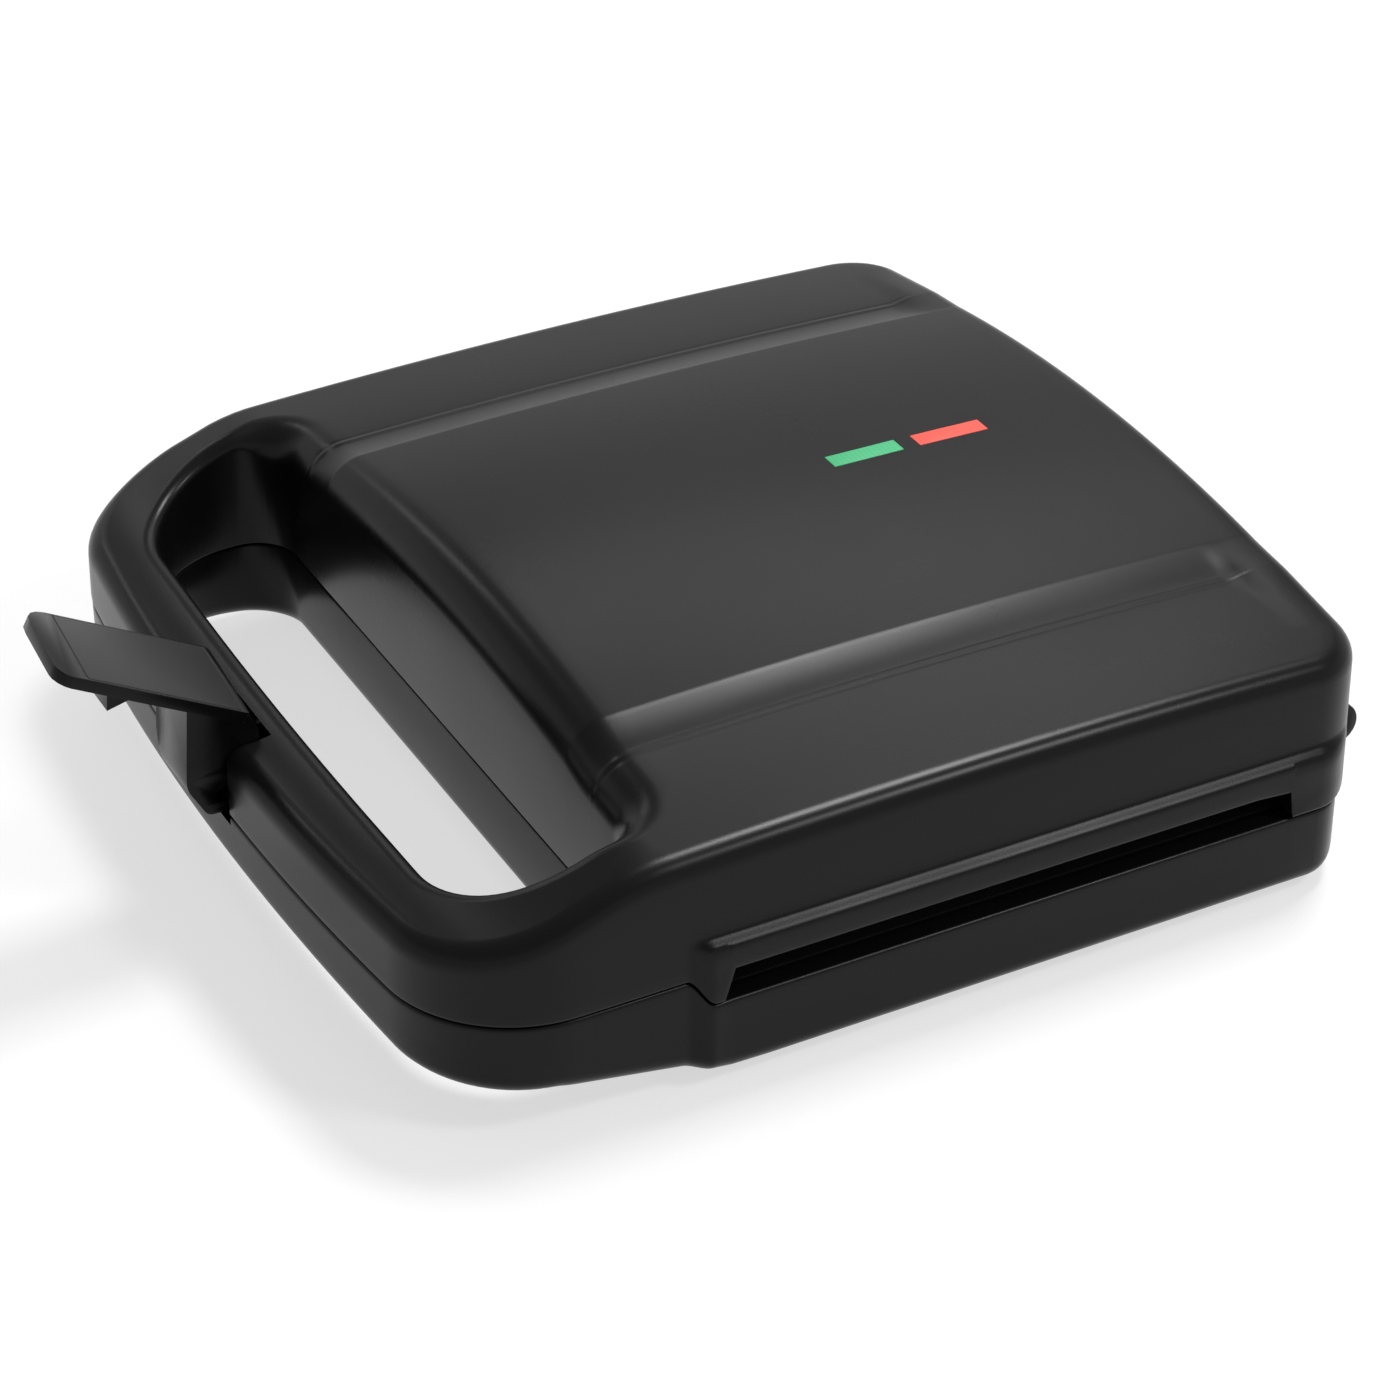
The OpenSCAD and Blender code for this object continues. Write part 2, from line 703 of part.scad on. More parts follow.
module base_additions() {
    // Bosses for the base's screws, up to the lower frame
    for (p = boss_places)
        translate([p[0], p[1], floor_top - wall / 2])
        cylinder(d = boss_diameter + 2, h = deck_low - floor_top + wall / 2);
    // Middle knuckle of each hinge on its bracket
    both_sides() {
        rod(hinge_place - knuckle_width / 2, hinge_place + knuckle_width / 2,
            axis_y, hinge_height, knuckle_diameter);
        slab(hinge_place - knuckle_width / 2, hinge_place + knuckle_width / 2)
        polygon([
            [rear - rear_inset - wall / 2, hinge_height - 16],
            [axis_y, hinge_height - knuckle_diameter / 2],
            [axis_y, side_seam - seam_gap / 2],
            [rear - rear_inset - wall / 2, side_seam - seam_gap / 2]
        ]);
    }
    // Thick part of the bar that carries the catch
    block(-notch_half - cheek, notch_half + cheek, front + 1.6, front + 7.5,
        front_seam - 8, front_seam - seam_gap / 2);
    block(-notch_half + 0.6, notch_half - 0.6, front + 4.2, front + 6.6, front_seam - 6, catch_top);
    block(-notch_half + 0.6, notch_half - 0.6, catch_front, front + 6.6, catch_low, catch_top);
}

module base_cuts() {
    for (p = boss_places) {
        translate([p[0], p[1], ground_gap - 1])
        cylinder(d = head_diameter + 0.4, h = deck_low - base_screw_length - ground_gap + 1);
        translate([p[0], p[1], ground_gap])
        cylinder(d = screw_hole, h = deck_low);
    }
    for (x = [-foot_x, foot_x])
        for (y = [foot_front_y, foot_rear_y])
            translate([x, y, ground_gap - 1])
            cylinder(d = foot_diameter + 0.1, h = 1 + foot_seat);
    // Recess that the hook swings out of
    block(-notch_half, notch_half, front - 2, front + 4.2, front_seam - 2.6, catch_low);
    block(-notch_half, notch_half, front - 2, catch_front, front_seam - 2.6, catch_top + 1);
    both_sides()
    rod(hinge_place - knuckle_width, hinge_place + knuckle_width,
        axis_y, hinge_height, hinge_pin_diameter + 0.12);
    translate([gland_x, rear - 10, gland_z])
    rotate([-90, 0, 0])
    cylinder(d = gland_diameter - 3 + 0.1, h = 12);
}

module lower_shell() {
    color([0.09, 0.09, 0.09])
    difference() {
        union() {
            ring_solid([for (s = stations) base_ring(s)]);
            base_additions();
        }
        base_cuts();
    }
}

// ---- Frames, plates and heating, drawn for the lower half ----

module frame_outline(inset) {
    corner = rear_corner - inset;
    half = half_width - inset;
    back = rear - inset;
    translate([-half, frame_front])
    square([2 * half, back - corner - frame_front]);
    translate([-half + corner, frame_front])
    square([2 * (half - corner), back - frame_front]);
    for (x = [-half + corner, half - corner])
        translate([x, back - corner])
        circle(r = corner);
}

module frame(inset, screws_from_below) {
    difference() {
        union() {
            translate([0, 0, deck_low])
            linear_extrude(frame_sheet)
            frame_outline(inset);
            block(-window_half - frame_rim, window_half + frame_rim, window_front - frame_rim,
                window_rear + frame_rim, deck_low, rim_top - plate_rim);
        }
        block(-window_half, window_half, window_front, window_rear, deck_low - 1, rim_top);
        for (p = boss_places) {
            translate([p[0], p[1], deck_low - 1])
            cylinder(d = screw_hole, h = frame_sheet + 2);
            if (screws_from_below)
                translate([p[0], p[1], deck_top - head_height])
                cylinder(d = head_diameter + 0.4, h = head_height + 1);
        }
    }
}

// The two triangles that one diagonal ridge makes of a sandwich
function pocket_outlines() =
    let (
        a = pocket_ridge / 2, b = pocket_half,
        c = plate_front + pocket_margin, d = plate_rear - pocket_margin, g = 5
    )
    [[[a, c + g], [b - g, d], [a, d]], [[a + g, c], [b, c], [b, d - g]]];

module pockets(grow) {
    taper = 3.4;
    both_sides()
    for (t = pocket_outlines())
        frustum(
            rounded(drawn_in(t, taper - grow), [4, 4, 4]), rim_top - pocket_depth - grow,
            rounded(drawn_in(t, -grow), [6, 6, 6]), rim_top
        );
}

module plate() {
    difference() {
        union() {
            block(-plate_width / 2, plate_width / 2, plate_front, plate_rear, rim_top - plate_rim, rim_top);
            pockets(pocket_skin);
            for (p = plate_screw_places)
                translate([p[0], p[1], shield_top])
                cylinder(d = boss_diameter, h = rim_top - plate_rim - shield_top + 0.5);
        }
        translate([0, 0, 0.01])
        pockets(0);
        for (p = plate_screw_places)
            translate([p[0], p[1], shield_top - 1])
            cylinder(d = screw_hole, h = plate_screw_bite + 1.2);
    }
}

// Heating tube: a loop with rounded corners and two tails to the rear
tail_x = 15;
loop_x = plate_width / 2 - element_margin;
loop_front = plate_front + element_margin;
loop_rear = plate_rear - element_margin;

module tube_bend(x, y, turn) {
    translate([x, y, 0])
    rotate([0, 0, turn])
    rotate_extrude(angle = 90)
    translate([element_bend, 0])
    circle(d = element_diameter);
}

module tube_x(x0, x1, y) {
    translate([x0, y, 0])
    rotate([0, 90, 0])
    cylinder(d = element_diameter, h = x1 - x0);
}

module tube_y(x, y0, y1, d) {
    translate([x, y0, 0])
    rotate([-90, 0, 0])
    cylinder(d = d, h = y1 - y0);
}

module element() {
    translate([0, 0, element_z])
    union() {
        tube_x(-loop_x + element_bend, loop_x - element_bend, loop_front);
        both_sides() {
            tube_bend(loop_x - element_bend, loop_front + element_bend, -90);
            tube_y(loop_x, loop_front + element_bend, loop_rear - element_bend, element_diameter);
            tube_bend(loop_x - element_bend, loop_rear - element_bend, 0);
            tube_x(tail_x + element_bend, loop_x - element_bend, loop_rear);
            tube_bend(tail_x + element_bend, loop_rear + element_bend, 180);
            tube_y(tail_x, loop_rear + element_bend, tray_rear + 3, element_diameter);
            tube_y(tail_x, tray_rear + 3, tray_rear + 8, element_diameter / 2.4);
        }
    }
}

// Saddles between the tube and the heat shield
module element_clips() {
    difference() {
        for (x = [-loop_x, loop_x])
            for (y = [plate_mid - saddle_place, plate_mid + saddle_place])
                block(x - saddle_width / 2, x + saddle_width / 2, y - saddle_length / 2,
                    y + saddle_length / 2, shield_top, element_z + element_diameter / 6.4);
        translate([0, 0, element_z])
        for (x = [-loop_x, loop_x])
            tube_y(x, loop_front, loop_rear, element_diameter + 0.1);
    }
}

module heat_shield() {
    inner = window_half + tray_gap;
    inner_front = window_front - tray_gap;
    inner_rear = window_rear + tray_gap;
    t = shield_sheet;
    flange = 3.4;
    difference() {
        union() {
            block(-inner - t, inner + t, inner_front - t, inner_rear + t, shield_low, deck_low);
            block(-inner - t - flange, inner + t + flange, inner_front - t - flange,
                inner_rear + t + flange, deck_low - t, deck_low);
        }
        block(-inner, inner, inner_front, inner_rear, shield_top, deck_low + 1);
        translate([0, 0, element_z])
        for (x = [-tail_x, tail_x])
            tube_y(x, inner_rear - 1, inner_rear + 2, element_diameter + 0.6);
        for (p = plate_screw_places)
            translate([p[0], p[1], shield_low - 1])
            cylinder(d = screw_hole, h = 3);
    }
}

// A pan-head screw that points up, its head below the origin
module screw(length) {
    translate([0, 0, -head_height])
    cylinder(d = head_diameter, h = head_height);
    cylinder(d = screw_diameter, h = length);
}

module plate_screws() {
    for (p = plate_screw_places)
        translate([p[0], p[1], shield_low])
        screw(shield_sheet + plate_screw_bite);
}

module upper_frame() {
    color([0.16, 0.16, 0.16])
    turned_over()
    frame(wall + 0.3 + frame_clearance, true);
}

module lower_frame() {
    color([0.16, 0.16, 0.16])
    frame(wall + max(rear_inset, 0.9) + frame_clearance, false);
}

module upper_plate() {
    color([0.12, 0.12, 0.12])
    turned_over()
    plate();
}

module lower_plate() {
    color([0.12, 0.12, 0.12])
    plate();
}

module upper_element() {
    color([0.5, 0.5, 0.5])
    turned_over()
    element();
}

module lower_element() {
    color([0.5, 0.5, 0.5])
    element();
}

module upper_element_clips() {
    color([0.6, 0.6, 0.6])
    turned_over()
    element_clips();
}

module lower_element_clips() {
    color([0.6, 0.6, 0.6])
    element_clips();
}

module upper_heat_shield() {
    color([0.7, 0.7, 0.7])
    turned_over()
    heat_shield();
}

module lower_heat_shield() {
    color([0.7, 0.7, 0.7])
    heat_shield();
}

module upper_plate_screws() {
    color([0.6, 0.6, 0.6])
    turned_over()
    plate_screws();
}

module lower_plate_screws() {
    color([0.6, 0.6, 0.6])
    plate_screws();
}

module lid_screws() {
    color([0.6, 0.6, 0.6])
    for (p = boss_places)
        translate([p[0], p[1], upper_deck - frame_sheet + head_height])
        screw(lid_screw_length);
}

module base_screws() {
    color([0.6, 0.6, 0.6])
    for (p = boss_places)
        translate([p[0], p[1], deck_low - base_screw_length])
        screw(base_screw_length + frame_sheet - 0.2);
}

// ---- Lamps ----

module lens() {
    lens_block(0, -wall - 0.6, 0.05);
    block(-lens_width / 2 - 1.6, lens_width / 2 + 1.6, -lens_length / 2 - 1.6, lens_length / 2 + 1.6,
        -wall - 1.4, -wall - 0.4);
}

module green_lens() {
    color([0.2, 0.7, 0.4])
    at_lens(lens_centres[0])
    lens();
}

module red_lens() {
    color([0.9, 0.25, 0.2])
    at_lens(lens_centres[1])
    lens();
}

module lamp_holder() {
    color([0.85, 0.85, 0.8])
    difference() {
        union() {
            block(-post_place - post_diameter + 1, post_place + post_diameter - 1,
                lens_centres[0] - lamp_diameter - 1, lens_centres[1] + lamp_diameter + 1,
                holder_top - holder_sheet, holder_top);
            for (y = lens_centres)
                translate([0, y, holder_top])
                cylinder(d = lamp_diameter + 3, h = 3.6);
        }
        for (y = lens_centres)
            translate([0, y, holder_top])
            cylinder(d = lamp_diameter + 0.1, h = 5);
    }
}

module lamp() {
    translate([0, 0, holder_top])
    union() {
        cylinder(d = lamp_diameter, h = 6);
        translate([0, 0, 6])
        sphere(d = lamp_diameter);
    }
}

module green_lamp() {
    color([0.5, 0.9, 0.6])
    translate([0, lens_centres[0], 0])
    lamp();
}

module red_lamp() {
    color([0.95, 0.5, 0.4])
    translate([0, lens_centres[1], 0])
    lamp();
}

// ---- Electrical parts behind the lower tray ----

module thermostat() {
    color([0.8, 0.78, 0.7])
    translate([thermostat_place, 0, element_z]) {
        tube_y(0, tray_rear, tray_rear + 1.4, thermostat_diameter);
        tube_y(0, tray_rear + 1.4, tray_rear + 6.4, thermostat_diameter - 1.2);
        for (x = [-3, 3])
            block(x - 1.5, x + 1.5, tray_rear + 6.4, tray_rear + 12, -0.3, 0.3);
    }
}

module thermal_fuse() {
    color([0.75, 0.75, 0.75])
    union() {
        rod(-40, -28, tray_rear + 2.1, element_z, 4);
        rod(-46, -22, tray_rear + 2.1, element_z, 1);
    }
}

module terminal_block() {
    color([0.9, 0.88, 0.8])
    difference() {
        block(-11, 11, tray_rear + 9, tray_rear + 19, floor_top, floor_top + 9);
        for (x = [-6, 0, 6])
            translate([x, tray_rear + 14, floor_top + 3])
            cylinder(d = 3, h = 8);
    }
}

module cord_gland() {
    color([0.1, 0.1, 0.1])
    translate([gland_x, 0, gland_z])
    difference() {
        union() {
            tube_y(0, base_inner_rear - 3, rear - rear_inset + 0.1, gland_diameter - 3);
            tube_y(0, rear - rear_inset + 0.1, rear - rear_inset + 3, gland_diameter);
            tube_y(0, base_inner_rear - 3, base_inner_rear - 0.6, gland_diameter - 1.6);
        }
        tube_y(0, base_inner_rear - 5, rear + 10, lead_diameter);
    }
}

// ---- Hinge pins ----

module hinge_pin(side) {
    rod(side * hinge_place - pin_length / 2, side * hinge_place + pin_length / 2,
        axis_y, hinge_height, hinge_pin_diameter);
}

module hinge_pin_left() {
    color([0.7, 0.7, 0.7])
    hinge_pin(-1);
}

module hinge_pin_right() {
    color([0.7, 0.7, 0.7])
    hinge_pin(1);
}

// ---- Latch ----

// A place in the lever's profile: along the paddle from its root, and below its top
function pad(s, d) = [
    root_y - s * cos(paddle_rise) - d * sin(paddle_rise),
    root_z + s * sin(paddle_rise) - d * cos(paddle_rise)
];
arm_outer = arm_inner - 7.2;

module on_paddle() {
    translate([0, root_y, root_z])
    rotate([-paddle_rise, 0, 0])
    children();
}

// The paddle's outline, seen square to its top, between two distances from its root
function raked(half, near, far) =
    let (k = half * tan(paddle_rake))
    [[-half, k - near], [half, -k - near], [half, -k - far], [-half, k - far]];

module arm_profile() {
    polygon(rounded([
        pad(1.2, paddle_sheet * 0.5), pad(15.5, paddle_sheet * 0.5),
        [arm_outer, bar_top + 7], [arm_outer, catch_top + 4.5],
        [arm_outer + 5, lip_top - 2.6], [lip_back, lip_top - 2.6], [lip_back, lip_top],
        [arm_inner, lip_top], [arm_inner, catch_top + 1.2], [pivot_y - 2, pivot_z - 4.4],
        [pivot_y + 5, pivot_z - 4.4], [pivot_y + 5, bar_top + 3]
    ], [0.2, 0.4, 6, 10, 2.4, 0.9, 0.4, 0.5, 1, 3, 3.6, 5]));
}

module latch_lever() {
    color([0.06, 0.06, 0.06])
    difference() {
        union() {
            on_paddle()
            translate([0, 0, -paddle_sheet])
            linear_extrude(paddle_sheet)
            polygon(rounded(raked(paddle_width / 2, 0, paddle_length), [1, 1, 4, 7]));
            intersection() {
                slab(-arm_width / 2, arm_width / 2)
                arm_profile();
                // The arm narrows towards its hook
                translate([0, opening_front, 0])
                rotate([90, 0, 0])
                linear_extrude(bar_depth + paddle_length)
                polygon([
                    [-hook_width / 2, lip_top - 4], [hook_width / 2, lip_top - 4],
                    [hook_width / 2, lip_top], [arm_width / 2 + 0.1, pivot_z + 4],
                    [arm_width / 2 + 0.1, root_z + 30], [-arm_width / 2 - 0.1, root_z + 30],
                    [-arm_width / 2 - 0.1, pivot_z + 4], [-hook_width / 2, lip_top]
                ]);
            }
            // Fin that stiffens the paddle
            slab(-arm_width / 2, arm_width / 2)
            polygon([
                pad(0.73 * paddle_length, paddle_sheet * 0.6),
                pad(0.648 * paddle_length, paddle_sheet + 3),
                pad(0.446 * paddle_length, paddle_sheet * 0.6)
            ]);
        }
        on_paddle()
        translate([0, 0, -inset_seat])
        linear_extrude(paddle_sheet)
        polygon(rounded(raked(paddle_width / 2 - inset_border, inset_near, inset_far), [0.8, 0.8, 0.8, 0.8]));
        rod(-arm_width, arm_width, pivot_y, pivot_z, latch_pin_diameter + 0.12);
        // Room for the spring
        rod(-spring_room, spring_room, pivot_y, pivot_z, 8.4);
        block(-spring_room, spring_room, pivot_y, pivot_y + 8, pivot_z - 8, pivot_z + 4.2);
    }
}

spring_room = 3.2;
inset_seat = 0.9;
inset_border = 0.7;
inset_far = paddle_length - inset_place;
inset_near = inset_far - inset_length;

module latch_inset() {
    color([0.3, 0.3, 0.3])
    on_paddle()
    translate([0, 0, -inset_seat])
    linear_extrude(inset_seat + 0.1)
    polygon(rounded(raked(paddle_width / 2 - inset_border - 0.05, inset_near + 0.05, inset_far - 0.05),
        [0.8, 0.8, 0.8, 0.8]));
}

module latch_pin() {
    color([0.7, 0.7, 0.7])
    rod(-notch_half - cheek, notch_half + cheek, pivot_y, pivot_z, latch_pin_diameter);
}

// The spring: one wire, from a leg against the lid's rib through five turns to a leg on the lever
coil_radius = latch_pin_diameter / 2 + 0.25 + spring_wire / 2;
coil_pitch = spring_wire + 0.14;
coil_turns = 4.75;
coil_steps = 57;
function coil_place(k) =
    let (a = 90 + 360 * coil_turns * k / coil_steps)
    [
        [coil_pitch * coil_turns * (k / coil_steps - 0.5), coil_radius * cos(a), coil_radius * sin(a)],
        [0, cos(a), sin(a)],
        [0, -sin(a), cos(a)]
    ];
coil_path = [
    let (c = coil_place(0)) [c[0] - c[2] * (notch_back - pivot_y - 0.1), c[1]],
    for (k = [0:coil_steps]) let (c = coil_place(k)) [c[0], c[1]],
    let (c = coil_place(coil_steps)) [c[0] + c[2] * 3, c[1]]
];

module latch_spring() {
    rings = len(coil_path);
    color([0.7, 0.7, 0.7])
    translate([0, pivot_y, pivot_z])
    polyhedron(
        points = [
            for (c = coil_path)
                for (k = [0:5])
                    c[0] + spring_wire / 2 * (c[1] * cos(60 * k) + [1, 0, 0] * sin(60 * k))
        ],
        faces = [
            [for (k = [0:5]) 5 - k],
            [for (k = [0:5]) rings * 6 - 6 + k],
            for (i = [0:rings - 2])
                for (k = [0:5])
                    let (a = i * 6 + k, b = i * 6 + (k + 1) % 6)
                    each [[a, b + 6, a + 6], [a, b, b + 6]]
        ]
    );
}

// ---- Feet ----

module foot(x, y) {
    r = foot_diameter / 2;
    translate([x, y, 0])
    rotate_extrude()
    polygon([[0, 0], [r - 1, 0], [r, 1], [r, ground_gap + foot_seat], [0, ground_gap + foot_seat]]);
}

module foot_front_left() {
    color([0.15, 0.15, 0.15])
    foot(-foot_x, foot_front_y);
}

module foot_front_right() {
    color([0.15, 0.15, 0.15])
    foot(foot_x, foot_front_y);
}

module foot_rear_left() {
    color([0.15, 0.15, 0.15])
    foot(-foot_x, foot_rear_y);
}

module foot_rear_right() {
    color([0.15, 0.15, 0.15])
    foot(foot_x, foot_rear_y);
}

upper_shell();
lower_shell();
upper_frame();
lower_frame();
upper_plate();
lower_plate();
upper_element();
lower_element();
upper_element_clips();
lower_element_clips();
upper_heat_shield();
lower_heat_shield();
upper_plate_screws();
lower_plate_screws();
lid_screws();
base_screws();
green_lens();
red_lens();
lamp_holder();
green_lamp();
red_lamp();
thermostat();
thermal_fuse();
terminal_block();
cord_gland();
hinge_pin_left();
hinge_pin_right();
latch_lever();
latch_inset();
latch_pin();
latch_spring();
foot_front_left();
foot_front_right();
foot_rear_left();
foot_rear_right();
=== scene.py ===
"""Sandwich toaster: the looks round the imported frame.

Lengths in the housing functions are in millimetres, as in the part's source; meshes are made in metres.
"""
import math

import bmesh
import bpy
from mathutils import Matrix, Vector


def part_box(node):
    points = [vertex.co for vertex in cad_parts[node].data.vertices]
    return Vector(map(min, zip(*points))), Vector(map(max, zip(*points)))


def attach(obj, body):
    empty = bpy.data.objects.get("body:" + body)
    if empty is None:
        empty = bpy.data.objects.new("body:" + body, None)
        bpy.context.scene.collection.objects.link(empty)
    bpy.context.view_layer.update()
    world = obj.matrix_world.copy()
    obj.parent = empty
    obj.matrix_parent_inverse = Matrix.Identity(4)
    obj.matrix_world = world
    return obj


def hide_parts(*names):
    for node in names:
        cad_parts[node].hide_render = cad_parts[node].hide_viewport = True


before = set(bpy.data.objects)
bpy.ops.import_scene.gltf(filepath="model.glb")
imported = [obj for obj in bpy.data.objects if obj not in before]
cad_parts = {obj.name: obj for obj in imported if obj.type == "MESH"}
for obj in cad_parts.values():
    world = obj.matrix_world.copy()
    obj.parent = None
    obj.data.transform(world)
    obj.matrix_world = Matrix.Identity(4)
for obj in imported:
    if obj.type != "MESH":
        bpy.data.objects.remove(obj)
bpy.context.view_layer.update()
MM = 0.001

# ---- Camera ----

camera = bpy.data.objects.new("camera", bpy.data.cameras.new("camera"))
bpy.context.scene.collection.objects.link(camera)
camera.data.lens = 102.86
camera.data.sensor_width = 36
camera.data.clip_start = 0.05
camera.location = (0.7162, -0.35865, 0.5425)
view_target = Vector((0.03496, 0.00358, 0.0414))
camera.rotation_euler = (view_target - camera.location).to_track_quat("-Z", "Y").to_euler()
bpy.context.scene.camera = camera

# ---- Sizes of the housing ----

BODY_WIDTH, BODY_DEPTH, MIDDLE_Y = 230.0, 240.0, 16.0
WALL, SEAM_GAP, GROUND_GAP = 2.6, 0.4, 4.6
SKIRT = 2.2  # how far the base's rim stands below its floor
DRAFT, BASE_DRAW, REAR_INSET = 0.4, 0.9, 1.5
FRONT_DRAW = 0.3  # the base's draw round the handle
FRONT_SEAM, SIDE_SEAM = 29.0, 23.0
CROWN_RISE, BAR_RISE, BAR_DROP, CORNER_DROP = 43.5, 17.0, 15.5, 19.0  # from the front seam
CROWN_SAG, CROWN_FALL, CROWN_HALF = 2.2, 4.6, 95.0
FRONT_CORNER, REAR_CORNER, FRONT_BOW = 32.0, 16.0, 4.5
LEG_WIDTH, BAR_DEPTH, FINGER_GAP = 16.6, 18.0, 40.4
OPENING_FRONT_CORNER, OPENING_BACK_CORNER, BAR_BOW = 26.0, 11.0, 1.5
FLUTE_PLACE, FLUTE_WIDTH, FLUTE_STEP = 65.6, 11.5, 2.6
CRISP_START, CRISP_WIDTH = 1.2, 1.6  # the flute's crisp edge, which starts a little inside its place
SWEEP_START, SWEEP_POWER = 0.4, 1.4
FLARE_LENGTH, FLARE_WIDTH = 8.0, 3 * FLUTE_WIDTH
BEAD_HEIGHT, GROOVE_DEPTH = 0.12, 0.08
SHOULDER_FALL, SHOULDER_WIDTH, SHOULDER_POWER = 3.5, 35.0, 1.3
PANEL_RADIUS, RIM_RADIUS, EDGE_RADIUS, UNDER_RADIUS = 10.0, 4.0, 5.0, 5.0
BASE_EDGE = 1.1  # rounding of the base's upper edge
BULGE, BASE_BULGE = 2.7, 2.8
BULGE_ROLL = 3.0  # height of the roll from the wall out to the crest
SLOT_HEIGHT = 8.0
LENS_WIDTH, LENS_LENGTH, LENS_SPACE, LENS_PLACE = 5.2, 19.0, 4.5, 62.3

HALF_WIDTH = BODY_WIDTH / 2
FRONT, REAR = MIDDLE_Y - BODY_DEPTH / 2, MIDDLE_Y + BODY_DEPTH / 2
CROWN_Y = MIDDLE_Y + BODY_DEPTH / 10
LID_HEIGHT, BAR_TOP = FRONT_SEAM + CROWN_RISE, FRONT_SEAM + BAR_RISE
BAR_BOTTOM, CORNER_BOTTOM = FRONT_SEAM - BAR_DROP, FRONT_SEAM - CORNER_DROP
BULGE_CREST = SIDE_SEAM + SLOT_HEIGHT + 5.8
PLATE_PLANE = FRONT_SEAM - 2
OPENING_HALF = HALF_WIDTH - LEG_WIDTH
OPENING_FRONT = FRONT + BAR_DEPTH
OPENING_BACK = OPENING_FRONT + FINGER_GAP
SLOT_FRONT, SLOT_REAR = OPENING_BACK + 14.2, REAR - 24.3
STEP_BACK = SLOT_FRONT - 4.6
STEP_FRONT = STEP_BACK - 6
RAMP_START, RAMP_LENGTH, BAR_RAMP_LENGTH = STEP_BACK + 6, 42.0, 30.0
FLARE_START = REAR - 17


# ---- Small functions ----

def mix(a, b, t):
    return a + (b - a) * t


def clamped(t):
    return max(0.0, min(1.0, t))


def eased(t):
    return (1 - math.cos(math.pi * clamped(t))) / 2


def evenly(a, b, count):
    """count + 1 values from a to b."""
    return [mix(a, b, i / count) for i in range(count + 1)]


def quarter_round(start, stop, count):
    """Steps round an edge, as shares of its radius back from the face and down from the top."""
    turns = [math.radians(t) for t in evenly(start, stop, count)]
    return [(1 - math.cos(turn), 1 - math.sin(turn)) for turn in turns]


def plan(x, y):
    return Vector((x, y))


def at(place, z):
    return Vector((place.x, place.y, z))


# ---- The two outlines of the housing, seen from above ----

def bow_radius(half, rise):
    return (half * half + rise * rise) / (2 * rise)


OUTER_BOW = bow_radius(HALF_WIDTH - FRONT_CORNER, FRONT_BOW)
INNER_BOW = bow_radius(OPENING_HALF - OPENING_FRONT_CORNER, BAR_BOW)
OUTER_LEAN = math.asin((HALF_WIDTH - FRONT_CORNER) / (OUTER_BOW - FRONT_CORNER))
INNER_LEAN = math.asin((OPENING_HALF - OPENING_FRONT_CORNER) / (INNER_BOW - OPENING_FRONT_CORNER))
OUTER_CORNER_Y = FRONT + OUTER_BOW - (OUTER_BOW - FRONT_CORNER) * math.cos(OUTER_LEAN)
INNER_CORNER_Y = (OPENING_FRONT + INNER_BOW
                  - (INNER_BOW - OPENING_FRONT_CORNER) * math.cos(INNER_LEAN))
FAN_CENTRE = plan(OPENING_HALF - OPENING_BACK_CORNER, OPENING_BACK - OPENING_BACK_CORNER)

# A station is four vectors: a point on the opening's edge and the way from there into the housing,
# then the matching point on the outer edge and the way out of the housing.


def corner_station(u):
    inner_turn, outer_turn = u * (math.pi / 2 - INNER_LEAN), u * (math.pi / 2 - OUTER_LEAN)
    away = plan(math.cos(inner_turn), -math.sin(inner_turn))
    out = plan(math.cos(outer_turn), -math.sin(outer_turn))
    inner = plan(OPENING_HALF - OPENING_FRONT_CORNER, INNER_CORNER_Y) + OPENING_FRONT_CORNER * away
    outer = plan(HALF_WIDTH - FRONT_CORNER, OUTER_CORNER_Y) + FRONT_CORNER * out
    return inner, away, outer, out


def bar_station(u):
    inner_turn, outer_turn = INNER_LEAN * (1 - u), OUTER_LEAN * (1 - u)
    away = plan(math.sin(inner_turn), -math.cos(inner_turn))
    out = plan(math.sin(outer_turn), -math.cos(outer_turn))
    inner = plan(INNER_BOW * math.sin(inner_turn), OPENING_FRONT + INNER_BOW * (1 - math.cos(inner_turn)))
    outer = plan(OUTER_BOW * math.sin(outer_turn), FRONT + OUTER_BOW * (1 - math.cos(outer_turn)))
    return inner, away, outer, out


def panel_station(x):
    return plan(x, OPENING_BACK), plan(0, 1), plan(x, REAR), plan(0, 1)


def fan_station(outer, out):
    """The fan's rays all pass through the centre of the opening's back corner."""
    away = (outer - FAN_CENTRE).normalized()
    return FAN_CENTRE + OPENING_BACK_CORNER * away, away, outer, out


def rear_corner_station(u):
    out = plan(math.sin(math.pi / 2 * u), math.cos(math.pi / 2 * u))
    centre = plan(HALF_WIDTH - REAR_CORNER, REAR - REAR_CORNER)
    return fan_station(centre + REAR_CORNER * out, out)


def side_station(y):
    return fan_station(plan(HALF_WIDTH, y), plan(1, 0))


